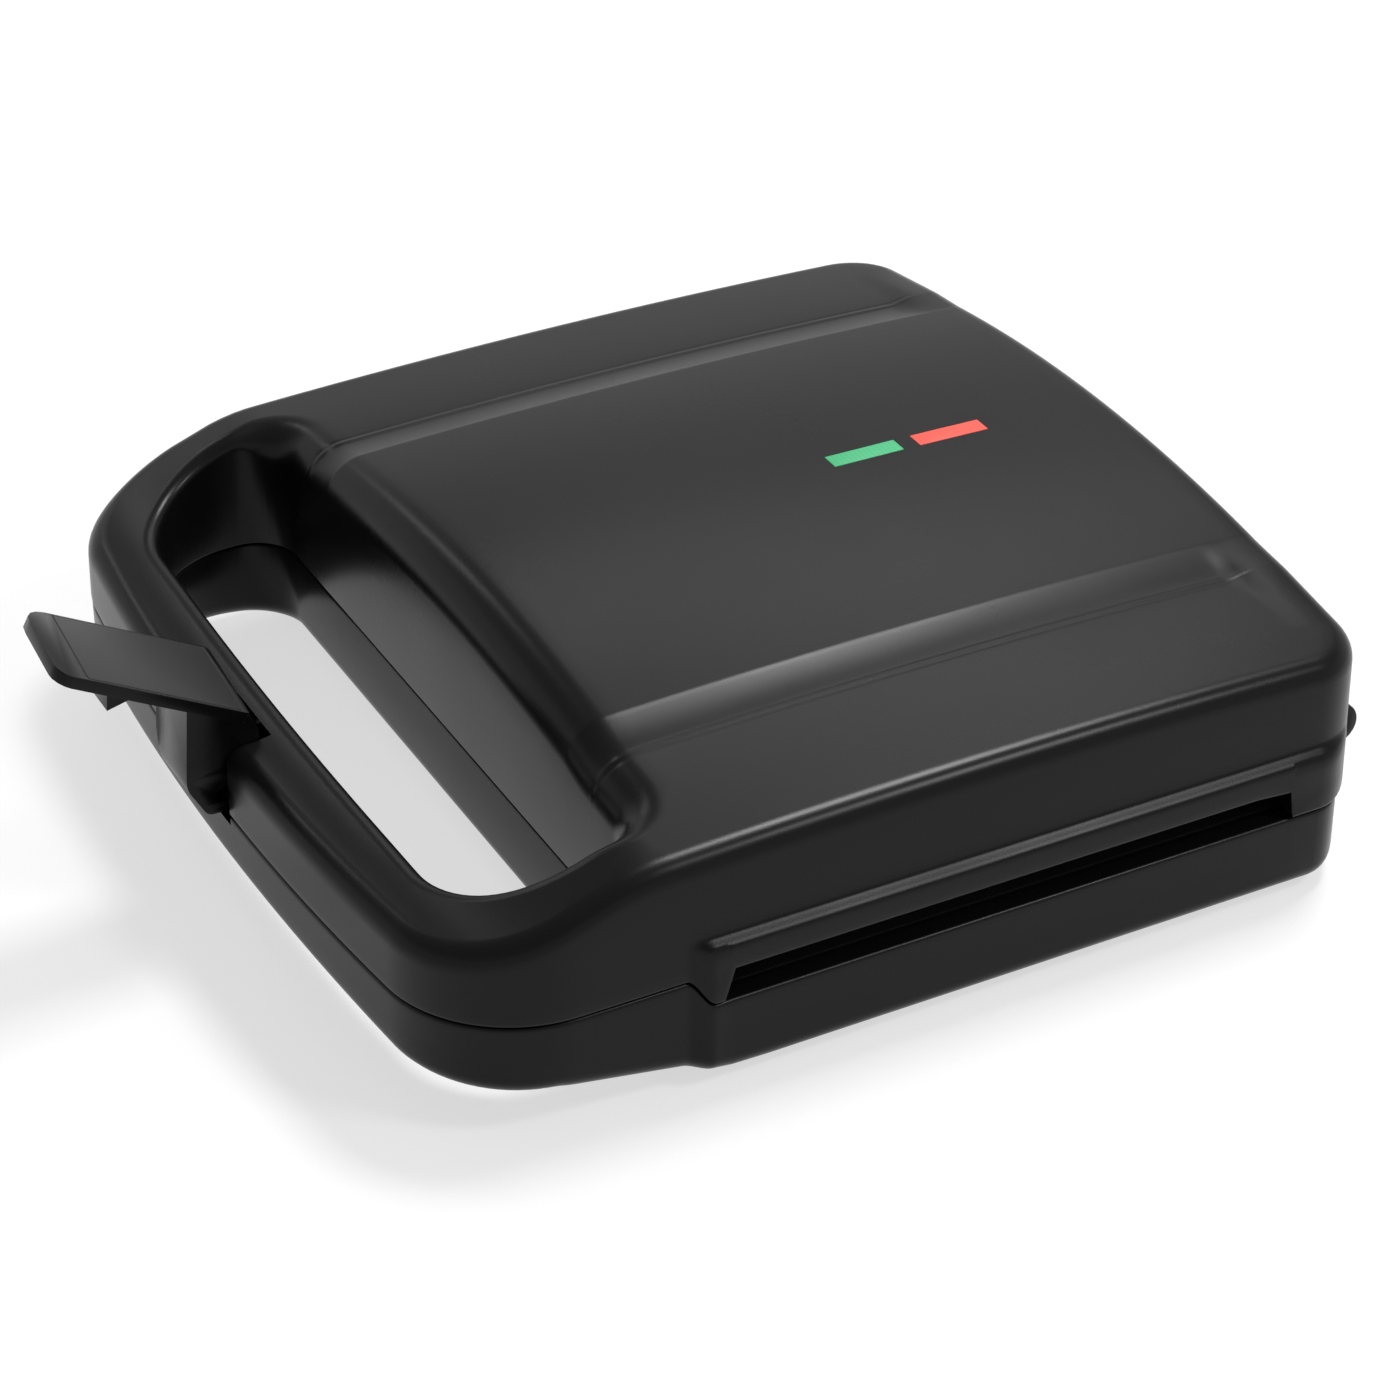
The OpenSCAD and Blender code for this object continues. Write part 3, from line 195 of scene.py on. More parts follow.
def all_stations():
    """From the panel's middle round the right side to the bar's middle, and back round the left.

    They stand closer together at the flute, at the slot's ends and at the step.
    """
    flute_steps = evenly(-0.15, 0.8, 19) + evenly(0.82, 1.2, 14)
    half = [panel_station(x) for x in evenly(0, FLUTE_PLACE * 0.95, 14)]
    half += [panel_station(FLUTE_PLACE + FLUTE_WIDTH * t) for t in flute_steps]
    half += [panel_station(x) for x in evenly(FLUTE_PLACE + FLUTE_WIDTH * 1.26, FAN_CENTRE.x, 4)[:-1]]
    half += [fan_station(plan(FAN_CENTRE.x, REAR), plan(0, 1))]
    half += [rear_corner_station(u) for u in evenly(0, 1, 12)]
    side = [SLOT_REAR + past for past in (1.1, 0.75, 0.4, 0.1)]
    side += evenly(SLOT_REAR, SLOT_FRONT, 16) + [SLOT_FRONT - 0.1]
    side += evenly(SLOT_FRONT - 0.4, SLOT_FRONT - 2.6, 4)
    side += evenly(STEP_BACK + 1, STEP_FRONT - 1, 16)
    side += evenly(STEP_FRONT - 2, FAN_CENTRE.y, 4)
    half += [side_station(y) for y in side]
    half += [corner_station(u) for u in evenly(0, 1, 20)[:-1]]
    half += [bar_station(u) for u in evenly(0, 1, 12)]
    flip = Matrix(((-1, 0), (0, 1)))
    return half + [tuple(flip @ vector for vector in station) for station in half[-2:0:-1]]


# ---- Heights over the plan ----

def crown(y):
    return LID_HEIGHT - CROWN_SAG * ((y - CROWN_Y) / CROWN_HALF) ** 2


def flare(y):
    """How far the flute has opened out towards its rear end, from 0 to 1."""
    return eased((y - FLARE_START) / FLARE_LENGTH)


def cross_fall(x, y):
    """Fall from the crown: the panel, a crisp edge, the flute's hollow sweep, the shoulder."""
    past = abs(x) - FLUTE_PLACE
    panel = CROWN_FALL * (min(abs(x), FLUTE_PLACE) / FLUTE_PLACE) ** 2
    shoulder = SHOULDER_FALL * (max(0, past - FLUTE_WIDTH) / SHOULDER_WIDTH) ** SHOULDER_POWER
    share = clamped((past + SWEEP_START) / mix(FLUTE_WIDTH, FLARE_WIDTH, flare(y)))
    sweep = 1 - (1 - share) ** SWEEP_POWER
    crisp = eased((past + CRISP_START) / CRISP_WIDTH)
    return panel + FLUTE_STEP * sweep * crisp + shoulder


def front_share(y):
    """How far the top has come down to the handle, from 0 to 1."""
    return eased((OPENING_BACK - y) / (OPENING_BACK - FRONT - 6))


def smooth_top(x, y):
    return mix(crown(y) - cross_fall(x, y), BAR_TOP, front_share(y))


def bead(x, y):
    """The fine bead along the flute's outer edge, and the groove beside it."""
    share = (abs(x) - FLUTE_PLACE) / FLUTE_WIDTH
    ridge = BEAD_HEIGHT * math.exp(-((share - 0.98) / 0.06) ** 2)
    groove = GROOVE_DEPTH * math.exp(-((share - 1.1) / 0.045) ** 2)
    return (ridge - groove) * (1 - front_share(y)) * (1 - flare(y))


def lid_top(x, y):
    return smooth_top(x, y) + bead(x, y)


def underside(x, y, rim=0):
    """Height of the base's floor, or of its rim where rim is 1."""
    rise = (BAR_BOTTOM - CORNER_BOTTOM) * (1 - min(1, abs(x) / HALF_WIDTH) ** 2)
    ramp = mix(GROUND_GAP - SKIRT * rim, CORNER_BOTTOM, clamped((RAMP_START - y) / RAMP_LENGTH))
    return ramp + rise * eased((OUTER_CORNER_Y - y) / BAR_RAMP_LENGTH)


def step_share(y):
    return eased((y - STEP_FRONT) / (STEP_BACK - STEP_FRONT))


def bulge_share(y):
    return step_share(y) * (1 - eased((y - REAR + REAR_CORNER) / (REAR_CORNER - 2)))


def seam_height(y):
    return mix(FRONT_SEAM, SIDE_SEAM, step_share(y))


def lid_edge(y):
    """Lower edge of the lid's side, which rises over the slot: a slope in front, steeper behind."""
    low, high = seam_height(y) + SEAM_GAP / 2, SIDE_SEAM + SLOT_HEIGHT
    rear_end = clamped(SLOT_REAR + 0.9 - y)
    front_end = clamped((y - SLOT_FRONT + 2.6) / 2.5)
    return mix(low, high, min(rear_end, front_end))


# ---- The housings: rings of points round the handle opening ----

SEAM_EDGE = ((0.5, 0), (0.12, 0.15), (0, 0.6))  # rounding at the opening: back from the wall, off the seam
SIDE_BENDS = (3.3, 3.0, 2.6, 2.2, 1.8, 1.4, 1.0, 0.6, 0.2, -0.7, -2, -3.6)  # from the bulge's crest


def inner_radius(station):
    """Rounding of the opening's edge: wide along the panel, narrow round the handle."""
    inner, away, _, out = station
    if out.y > 0.99 and abs(inner.x) < FAN_CENTRE.x + 0.1:
        return PANEL_RADIUS
    return mix(RIM_RADIUS, PANEL_RADIUS, eased(away.y if inner.y > FAN_CENTRE.y else 0))


def bulge_swell(z):
    """How far the side bulge has risen at a height: a concave run-in, then a round roll."""
    u = clamped((z - BULGE_CREST) / BULGE_ROLL)
    return 1 - u * u * (3 - 2 * u) - 0.1 * clamped((BULGE_CREST - 1 - z) / 4.8) ** 2


def side_heights(low, high, lip):
    """Heights down the lid's side, spread out evenly where the bends don't fit between the edges."""
    count, span = len(SIDE_BENDS), high - low - lip
    wanted = [mix(high, BULGE_CREST + SIDE_BENDS[0], 0.5)] + [BULGE_CREST + z for z in SIDE_BENDS]
    heights = []
    for i, z in enumerate(wanted):
        highest = high - span * (i + 1) / (count + 3)
        lowest = low + lip + span * (count - i) / (3 * count + 6)
        heights.append(max(min(z, highest), lowest))
    return heights


def lid_ring(station):
    """A section of the lid: the opening's wall, the top, the edge, the side, then the inside."""
    inner, away, outer, out = station
    radius = inner_radius(station)
    low, inner_low = lid_edge(outer.y), FRONT_SEAM + SEAM_GAP / 2
    high = lid_top(outer.x, outer.y) - EDGE_RADIUS
    top_start, top_end = inner + away * radius, outer - out * (EDGE_RADIUS + DRAFT)
    wall_inner, wall_outer = inner + away * WALL, outer - out * (WALL + DRAFT / 2)
    inside_high = smooth_top(outer.x, outer.y) - EDGE_RADIUS
    inside_radius, inside_edge = max(radius - WALL, 1), max(EDGE_RADIUS - WALL, 1)
    inside_start, inside_end = wall_inner + away * inside_radius, wall_outer - out * inside_edge

    def side_at(z, back=0.0):
        draft = DRAFT * clamped((z - SIDE_SEAM) / (high - SIDE_SEAM))
        return at(outer + out * (BULGE * bulge_swell(z) * bulge_share(outer.y) - draft - back), z)

    ring = [at(inner + away * back, inner_low + up) for back, up in SEAM_EDGE]
    for back, down in quarter_round(0, 90, 9)[:-1]:
        place = inner + away * (radius * back)
        ring.append(at(place, lid_top(place.x, place.y) - radius * down))
    for share in [0, 0.02, 0.05] + evenly(0.09, 0.8, 14) + evenly(0.83, 0.98, 10) + [1]:
        place = top_start + (top_end - top_start) * share
        ring.append(at(place, lid_top(place.x, place.y)))
    for back, down in quarter_round(90, 0, 9)[1:]:
        place = outer - out * (DRAFT + EDGE_RADIUS * back)
        ring.append(at(place, lid_top(place.x, place.y) - EDGE_RADIUS * down))
    lip = min(0.9, (high - low) * 0.2)
    ring += [side_at(z) for z in side_heights(low, high, lip)]
    ring += [side_at(low + lip), side_at(low + lip * 0.6, 0.05), side_at(low + lip * 0.25, 0.2),
             side_at(low, 0.6), at(wall_outer, low), at(wall_outer, inside_high),
             at(wall_outer - out * (inside_edge * 0.3), inside_high + inside_edge * 0.7),
             at(inside_end, inside_high + inside_edge)]
    for share in (0.85, 0.6, 0.3, 0.1, 0):
        place = inside_start.lerp(inside_end, share)
        ring.append(at(place, smooth_top(place.x, place.y) - WALL))
    ceiling = smooth_top(inner.x, inner.y) - WALL
    ring += [at(wall_inner + away * (inside_radius * 0.3), ceiling - inside_radius * 0.3),
             at(wall_inner, ceiling - inside_radius), at(wall_inner, inner_low)]
    return ring


def base_ring(station):
    """A section of the base: the opening's wall, the floor, the rim, the side, then the inside."""
    inner, away, outline, out = station
    draw = mix(FRONT_DRAW, BASE_DRAW, eased((outline.y - STEP_FRONT) / 12))
    outer = outline - out * draw - plan(0, (REAR_INSET - BASE_DRAW) * max(out.y, 0))
    face = outer + out * (BASE_BULGE * bulge_share(outline.y))
    high, inner_high = seam_height(outline.y) - SEAM_GAP / 2, FRONT_SEAM - SEAM_GAP / 2
    wall_inner, wall_outer = inner + away * WALL, outer - out * WALL
    ring = [at(inner + away * back, inner_high - down) for back, down in SEAM_EDGE]
    for back, up in quarter_round(0, 90, 6):
        place = inner + away * (UNDER_RADIUS * back)
        ring.append(at(place, underside(place.x, place.y) + UNDER_RADIUS * up))
    for share in evenly(0.08, 0.92, 12) + [0.93, 0.94, 0.95, 0.96]:
        place = (inner + away * UNDER_RADIUS).lerp(face - out * UNDER_RADIUS, share)
        ring.append(at(place, underside(place.x, place.y, eased((share - 0.92) / 0.04))))
    for back, up in quarter_round(90, 0, 8):
        place = face - out * (UNDER_RADIUS * back)
        ring.append(at(place, underside(place.x, place.y, 1) + UNDER_RADIUS * up))
    low = underside(face.x, face.y, 1) + UNDER_RADIUS
    ring += [at(face, mix(low, high - BASE_EDGE, share)) for share in (0.3, 0.6, 0.9)]
    ring += [at(face - out * BASE_EDGE * back, high - BASE_EDGE * down)
             for back, down in quarter_round(0, 90, 6)]
    ring += [at(wall_outer, high), at(wall_outer, underside(outer.x, outer.y) + WALL + 1)]
    for share in (1, 0.7, 0.3, 0):
        place = (wall_inner + away).lerp(wall_outer - out, share)
        ring.append(at(place, underside(place.x, place.y) + WALL))
    ring += [at(wall_inner, underside(inner.x, inner.y) + WALL + 1), at(wall_inner, inner_high)]
    return ring


# ---- Mesh helpers ----

def new_object(name, mesh):
    obj = bpy.data.objects.new(name, mesh)
    bpy.context.scene.collection.objects.link(obj)
    return obj


def made(name, bm):
    """A mesh object from bmesh data in metres."""
    mesh = bpy.data.meshes.new(name)
    bm.to_mesh(mesh)
    bm.free()
    return new_object(name, mesh)


def object_from(name, bm):
    """A closed mesh object from bmesh data in millimetres."""
    bmesh.ops.remove_doubles(bm, verts=bm.verts, dist=1e-5)
    bmesh.ops.recalc_face_normals(bm, faces=bm.faces)
    bm.transform(Matrix.Scale(MM, 4))
    return made(name, bm)


def ring_solid(name, rings):
    """Closes rings of equal length into one solid round the opening."""
    bm = bmesh.new()
    rows = [[bm.verts.new(place) for place in ring] for ring in rings]
    size = len(rows[0])
    for i, row in enumerate(rows):
        after = rows[(i + 1) % len(rows)]
        for j in range(size):
            k = (j + 1) % size
            bm.faces.new((row[j], after[j], after[k], row[k]))
    return object_from(name, bm)


def prism(bm, outline, low, high, axis="Z"):
    """A straight prism along an axis, over an outline that is given in the other two."""
    place = {"X": lambda a, b, h: (h, a, b), "Y": lambda a, b, h: (a, h, b),
             "Z": lambda a, b, h: (a, b, h)}[axis]
    bottom = [bm.verts.new(place(a, b, low)) for a, b in outline]
    top = [bm.verts.new(place(a, b, high)) for a, b in outline]
    bm.faces.new(bottom)
    bm.faces.new(top)
    for i in range(len(outline)):
        j = (i + 1) % len(outline)
        bm.faces.new((bottom[i], bottom[j], top[j], top[i]))


def block(bm, x0, x1, y0, y1, z0, z1):
    prism(bm, [(x0, y0), (x1, y0), (x1, y1), (x0, y1)], z0, z1)


def circle(x, y, diameter, count=40):
    return [(x + diameter / 2 * math.cos(2 * math.pi * i / count),
             y + diameter / 2 * math.sin(2 * math.pi * i / count)) for i in range(count)]


def arc(x, y, radius, start, stop, count=6):
    return [(x + radius * math.cos(math.radians(a)), y + radius * math.sin(math.radians(a)))
            for a in evenly(start, stop, count)]


def apply_modifiers(obj):
    """Turns an object with modifiers into a plain mesh."""
    bpy.context.view_layer.update()
    depsgraph = bpy.context.evaluated_depsgraph_get()
    mesh = bpy.data.meshes.new_from_object(obj.evaluated_get(depsgraph), preserve_all_data_layers=True,
                                           depsgraph=depsgraph)
    obj.modifiers.clear()
    obj.data = mesh
    return obj


def carve(obj, cutter, operation="DIFFERENCE"):
    """Cuts one solid out of another, or fuses the two, and leaves only the result."""
    modifier = obj.modifiers.new("carve", "BOOLEAN")
    modifier.operation = operation
    modifier.solver = "EXACT"
    modifier.object = cutter
    apply_modifiers(obj)
    bpy.data.objects.remove(cutter)
    return obj


def rounded_edges(obj, width, angle=35):
    """Rounds the edges that are sharper than an angle."""
    modifier = obj.modifiers.new("rounded_edges", "BEVEL")
    modifier.width = width * MM
    modifier.segments = 2
    modifier.limit_method = "ANGLE"
    modifier.angle_limit = math.radians(angle)
    return apply_modifiers(obj)


def joined(target, *others):
    """Adds the meshes of the others to the target."""
    bm = bmesh.new()
    bm.from_mesh(target.data)
    for other in others:
        bm.from_mesh(other.data)
        bpy.data.objects.remove(other)
    bm.to_mesh(target.data)
    bm.free()
    return target


def painted(obj, material, angle=32):
    """Gives an object one material, and smooth shading over the edges that are flatter than an angle."""
    obj.data.polygons.foreach_set("use_smooth", [True] * len(obj.data.polygons))
    obj.data.set_sharp_from_angle(angle=math.radians(angle))
    obj.data.materials.clear()
    obj.data.materials.append(material)
    return obj


# ---- Geometry node trees for what repeats or follows a path ----

def geometry_tree(name, inputs):
    """A new geometry node tree with a geometry input and named inputs for its sizes."""
    tree = bpy.data.node_groups.new(name, "GeometryNodeTree")
    tree.interface.new_socket(name="Geometry", in_out="INPUT", socket_type="NodeSocketGeometry")
    for label, kind in inputs:
        tree.interface.new_socket(name=label, in_out="INPUT", socket_type=kind)
    tree.interface.new_socket(name="Material", in_out="INPUT", socket_type="NodeSocketMaterial")
    tree.interface.new_socket(name="Geometry", in_out="OUTPUT", socket_type="NodeSocketGeometry")
    return tree, tree.nodes.new("NodeGroupInput").outputs, tree.nodes.new("NodeGroupOutput").inputs


def close_tree(tree, given, result, geometry):
    """Realizes what the tree has made and gives it its material."""
    real = put(tree, "GeometryNodeRealizeInstances", Geometry=geometry).outputs[0]
    finished = put(tree, "GeometryNodeSetMaterial", Geometry=real, Material=given["Material"])
    tree.links.new(finished.outputs[0], result["Geometry"])
    return tree


def make_screw_tree():
    """Pan-head screws with a cross recess, one on each point, pointing up."""
    tree, given, result = geometry_tree("screw_tree", [
        ("Head Diameter", "NodeSocketFloat"), ("Head Height", "NodeSocketFloat"),
        ("Shank Diameter", "NodeSocketFloat"), ("Length", "NodeSocketFloat")])

    def times(a, b):
        return math_node(tree, "MULTIPLY", a, b)

    def raised(geometry, height):
        place = put(tree, "ShaderNodeCombineXYZ", Z=height).outputs[0]
        return put(tree, "GeometryNodeTransform", Geometry=geometry, Translation=place).outputs[0]

    head_radius, shank_radius = times(given["Head Diameter"], 0.5), times(given["Shank Diameter"], 0.5)
    skirt = put(tree, "GeometryNodeMeshCylinder", Vertices=28, Radius=head_radius,
                Depth=times(given["Head Height"], 0.5)).outputs["Mesh"]
    crown = put(tree, "GeometryNodeMeshCone", Vertices=28, Radius_Top=times(head_radius, 0.74),
                Radius_Bottom=head_radius, Depth=times(given["Head Height"], 0.5)).outputs["Mesh"]
    turned = put(tree, "GeometryNodeTransform", Geometry=crown, Rotation=(math.pi, 0, 0)).outputs[0]
    slot_length, slot_width, slot_depth = 0.62, 0.15, 1.3
    cross = put(tree, "GeometryNodeMeshBoolean", {"operation": "UNION"})
    for x_share, y_share in ((slot_length, slot_width), (slot_width, slot_length)):
        size = put(tree, "ShaderNodeCombineXYZ", X=times(given["Head Diameter"], x_share),
                   Y=times(given["Head Diameter"], y_share), Z=times(given["Head Height"], slot_depth))
        arm = put(tree, "GeometryNodeMeshCube", Size=size.outputs[0]).outputs["Mesh"]
        tree.links.new(arm, cross.inputs["Mesh 2"])
    recess = raised(cross.outputs[0], times(given["Head Height"], -1.0))
    dished = put(tree, "GeometryNodeMeshBoolean", {"operation": "DIFFERENCE"})
    tree.links.new(raised(turned, times(given["Head Height"], -0.75)), dished.inputs["Mesh 1"])
    tree.links.new(recess, dished.inputs["Mesh 2"])
    shank = put(tree, "GeometryNodeMeshCylinder", Vertices=20, Radius=shank_radius,
                Depth=given["Length"]).outputs["Mesh"]
    whole = put(tree, "GeometryNodeJoinGeometry")
    for geometry in (raised(skirt, times(given["Head Height"], -0.25)), dished.outputs[0],
                     raised(shank, times(given["Length"], 0.5))):
        tree.links.new(geometry, whole.inputs[0])
    placed = put(tree, "GeometryNodeInstanceOnPoints", Points=given["Geometry"],
                 Instance=whole.outputs[0])
    return close_tree(tree, given, result, placed.outputs[0])


def make_tube_tree():
    """A round tube or wire along a line, with its corners turned to a bend radius."""
    tree, given, result = geometry_tree("tube_tree", [
        ("Diameter", "NodeSocketFloat"), ("Bend Radius", "NodeSocketFloat"),
        ("Bend Steps", "NodeSocketInt"), ("Sides", "NodeSocketInt")])
    line = put(tree, "GeometryNodeMeshToCurve", Mesh=given["Geometry"]).outputs[0]
    bent = put(tree, "GeometryNodeFilletCurve", {"mode": "POLY"}, Curve=line,
               Radius=given["Bend Radius"], Count=given["Bend Steps"], Limit_Radius=True).outputs[0]
    section = put(tree, "GeometryNodeCurvePrimitiveCircle", Resolution=given["Sides"],
                  Radius=math_node(tree, "MULTIPLY", given["Diameter"], 0.5)).outputs[0]
    tube = put(tree, "GeometryNodeCurveToMesh", Curve=bent, Profile_Curve=section, Fill_Caps=True)
    return close_tree(tree, given, result, tube.outputs[0])


def grown(name, tree, bm, **inputs):
    """Runs a geometry tree on points or lines in millimetres and keeps the plain mesh."""
    bm.transform(Matrix.Scale(MM, 4))
    obj = made(name, bm)
    modifier = obj.modifiers.new(name, "NODES")
    modifier.node_group = tree
    for item in tree.interface.items_tree:
        label = item.name.replace(" ", "_")
        if item.in_out == "INPUT" and label in inputs:
            modifier[item.identifier] = inputs[label]
    return apply_modifiers(obj)


def softened(node, width):
    """A copy of a CAD node with its flat faces merged and its edges rounded."""
    flat_angle, edge_angle = 4, 40
    bm = bmesh.new()
    bm.from_mesh(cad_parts[node].data)
    bmesh.ops.remove_doubles(bm, verts=bm.verts, dist=2e-6)
    bmesh.ops.dissolve_limit(bm, angle_limit=math.radians(flat_angle), verts=bm.verts, edges=bm.edges)
    return rounded_edges(made(node + "_soft", bm), width, edge_angle)


def finish_piece(obj, material, body, node, angle=32):
    """Gives a piece its finish and its body, and lets it stand for its CAD node."""
    painted(obj, material, angle)
    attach(obj, body)
    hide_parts(node)
    return obj


# ---- Finishes ----

def shader_group(name, inputs, outputs):
    """A new shader node group with named sockets; returns what it is given and what it has to fill."""
    tree = bpy.data.node_groups.new(name, "ShaderNodeTree")
    for label, kind, value in inputs:
        socket = tree.interface.new_socket(name=label, in_out="INPUT", socket_type=kind)
        if value is not None:
            socket.default_value = value
    for label, kind in outputs:
        tree.interface.new_socket(name=label, in_out="OUTPUT", socket_type=kind)
    return tree, tree.nodes.new("NodeGroupInput").outputs, tree.nodes.new("NodeGroupOutput").inputs


def feed(tree, node, **inputs):
    """Sets or links a node's inputs, named by label with _ for a space, or i1 for number 1."""
    for key, value in inputs.items():
        numbered = key[0] == "i" and key[1:].isdigit()
        socket = node.inputs[int(key[1:]) if numbered else key.replace("_", " ")]
        if isinstance(value, bpy.types.NodeSocket):
            tree.links.new(value, socket)
        else:
            socket.default_value = value
    return node


def put(tree, kind, settings=None, **inputs):
    """Adds a node with its settings and inputs."""
    node = tree.nodes.new(kind)
    for key, value in (settings or {}).items():
        setattr(node, key, value)
    return feed(tree, node, **inputs)


def math_node(tree, operation, a, b, clamp=False):
    return put(tree, "ShaderNodeMath", {"operation": operation, "use_clamp": clamp}, i0=a, i1=b).outputs[0]


def make_grain():
    """Moulded grain: fine spark-eroded pits on a faint, wider waviness, and patches of sheen."""
    tree, given, result = shader_group(
        "moulded_grain",
        [("Vector", "NodeSocketVector", None), ("Grain Size", "NodeSocketFloat", 0.35),
         ("Waviness", "NodeSocketFloat", 0.3)],
        [("Height", "NodeSocketFloat"), ("Patches", "NodeSocketFloat")])
    frequency = math_node(tree, "DIVIDE", 1 / MM, given["Grain Size"])
    fine = put(tree, "ShaderNodeTexNoise", Vector=given["Vector"], Scale=frequency, Detail=2.0,
               Roughness=0.55)
    pits = put(tree, "ShaderNodeTexVoronoi", Vector=given["Vector"], Scale=frequency)
    wide = put(tree, "ShaderNodeTexNoise", Vector=given["Vector"], Scale=38.0, Detail=2.0)
    patch = put(tree, "ShaderNodeTexNoise", Vector=given["Vector"], Scale=14.0, Detail=4.0, Roughness=0.6)
    relief = math_node(tree, "ADD", fine.outputs[0],
                       math_node(tree, "MULTIPLY", pits.outputs["Distance"], 0.5))
    waves = math_node(tree, "MULTIPLY", wide.outputs[0], given["Waviness"])
    tree.links.new(math_node(tree, "ADD", relief, waves), result["Height"])
    tree.links.new(patch.outputs[0], result["Patches"])
    return tree


def make_wear():
    """Where hands polish the plastic: convex edges, broken up by smudges."""
    tree, given, result = shader_group(
        "handled_edges",
        [("Vector", "NodeSocketVector", None), ("Amount", "NodeSocketFloat", 0.5)],
        [("Mask", "NodeSocketFloat")])
    geometry = tree.nodes.new("ShaderNodeNewGeometry")
    edge = put(tree, "ShaderNodeMapRange", i0=geometry.outputs["Pointiness"], i1=0.51, i2=0.58,
               i3=0.0, i4=1.0)
    smudge = put(tree, "ShaderNodeTexNoise", Vector=given["Vector"], Scale=60.0, Detail=5.0, Roughness=0.65)
    broken = math_node(tree, "MULTIPLY", edge.outputs[0], smudge.outputs[0])
    tree.links.new(math_node(tree, "MULTIPLY", broken, given["Amount"], True), result["Mask"])
    return tree


def make_speckle():
    """Sprayed coating or cast and rolled metal: fleck brightness and a matching relief."""
    tree, given, result = shader_group(
        "speckle",
        [("Vector", "NodeSocketVector", None), ("Fleck Size", "NodeSocketFloat", 0.5),
         ("Stretch", "NodeSocketFloat", 1.0)],
        [("Flecks", "NodeSocketFloat"), ("Height", "NodeSocketFloat")])
    frequency = math_node(tree, "DIVIDE", 1 / MM, given["Fleck Size"])
    stretch = put(tree, "ShaderNodeCombineXYZ", i0=1.0, i1=given["Stretch"], i2=1.0)
    drawn = put(tree, "ShaderNodeVectorMath", {"operation": "MULTIPLY"}, i0=given["Vector"],
                i1=stretch.outputs[0])
    fleck = put(tree, "ShaderNodeTexVoronoi", Vector=drawn.outputs[0], Scale=frequency)
    bright = put(tree, "ShaderNodeMapRange", i0=fleck.outputs["Distance"], i1=0.05, i2=0.3, i3=1.0,
                 i4=0.0)
    relief = put(tree, "ShaderNodeTexNoise", Vector=drawn.outputs[0], Scale=frequency, Detail=3.0)
    tree.links.new(bright.outputs[0], result["Flecks"])
    tree.links.new(relief.outputs[0], result["Height"])
    return tree


grain_group, wear_group, speckle_group = make_grain(), make_wear(), make_speckle()
for packed in bpy.data.materials:
    packed.name = "packed_" + packed.name


def new_material(name):
    """A material with its tree, its one shader and the object's own coordinates."""
    material = bpy.data.materials.new(name)
    material.use_nodes = True
    tree = material.node_tree
    tree.nodes.clear()
    output = tree.nodes.new("ShaderNodeOutputMaterial")
    shader = tree.nodes.new("ShaderNodeBsdfPrincipled")
    tree.links.new(shader.outputs[0], output.inputs[0])
    return material, tree, shader, tree.nodes.new("ShaderNodeTexCoord").outputs["Object"]


def place_group(tree, group, **inputs):
    return put(tree, "ShaderNodeGroup", {"node_tree": group}, **inputs).outputs


def colour_mix(tree, share, first, second):
    return put(tree, "ShaderNodeMix", {"data_type": "RGBA"}, Factor=share, i6=(*first, 1),
               i7=(*second, 1)).outputs[2]


def number_range(tree, value, low, high, start=0.3, stop=0.7):
    """Turns a value between start and stop into one between low and high."""
    return put(tree, "ShaderNodeMapRange", i0=value, i1=start, i2=stop, i3=low, i4=high).outputs[0]


def bump(tree, height, relief, strength=1.0):
    """The surface's normal over a relief, whose depth is in millimetres."""
    return put(tree, "ShaderNodeBump", Strength=strength, Distance=relief * MM, Height=height).outputs[0]


def moulded(name, colour, rubbed, roughness, grain=0.35, wear=0.5, specular=0.5):
    """Moulded plastic or rubber with grain, patches of sheen and handled edges."""
    material, tree, shader, place = new_material(name)
    texture = place_group(tree, grain_group, Vector=place, Grain_Size=grain)
    edges = place_group(tree, wear_group, Vector=place, Amount=wear)
    rough = number_range(tree, texture["Patches"], roughness - 0.03, roughness + 0.03)
    polished = math_node(tree, "MULTIPLY", edges["Mask"], 0.12)
    feed(tree, shader, Base_Color=colour_mix(tree, edges["Mask"], colour, rubbed),
         Roughness=math_node(tree, "SUBTRACT", rough, polished),
         Normal=bump(tree, texture["Height"], 0.01), Specular_IOR_Level=specular)
    return material


def metal(name, colour, stained, roughness, fleck=0.4, stretch=1.0):
    """Steel with a drawn or rolled grain and a stain that follows wide patches."""
    material, tree, shader, place = new_material(name)
    flecks = place_group(tree, speckle_group, Vector=place, Fleck_Size=fleck, Stretch=stretch)
    texture = place_group(tree, grain_group, Vector=place, Grain_Size=1.2)
    share = number_range(tree, texture["Patches"], 0.0, 0.8, 0.4, 0.7)
    rough = number_range(tree, flecks["Height"], roughness - 0.06, roughness + 0.08)
    feed(tree, shader, Base_Color=colour_mix(tree, share, colour, stained), Roughness=rough,
         Normal=bump(tree, flecks["Height"], 0.03), Metallic=1.0)
    return material


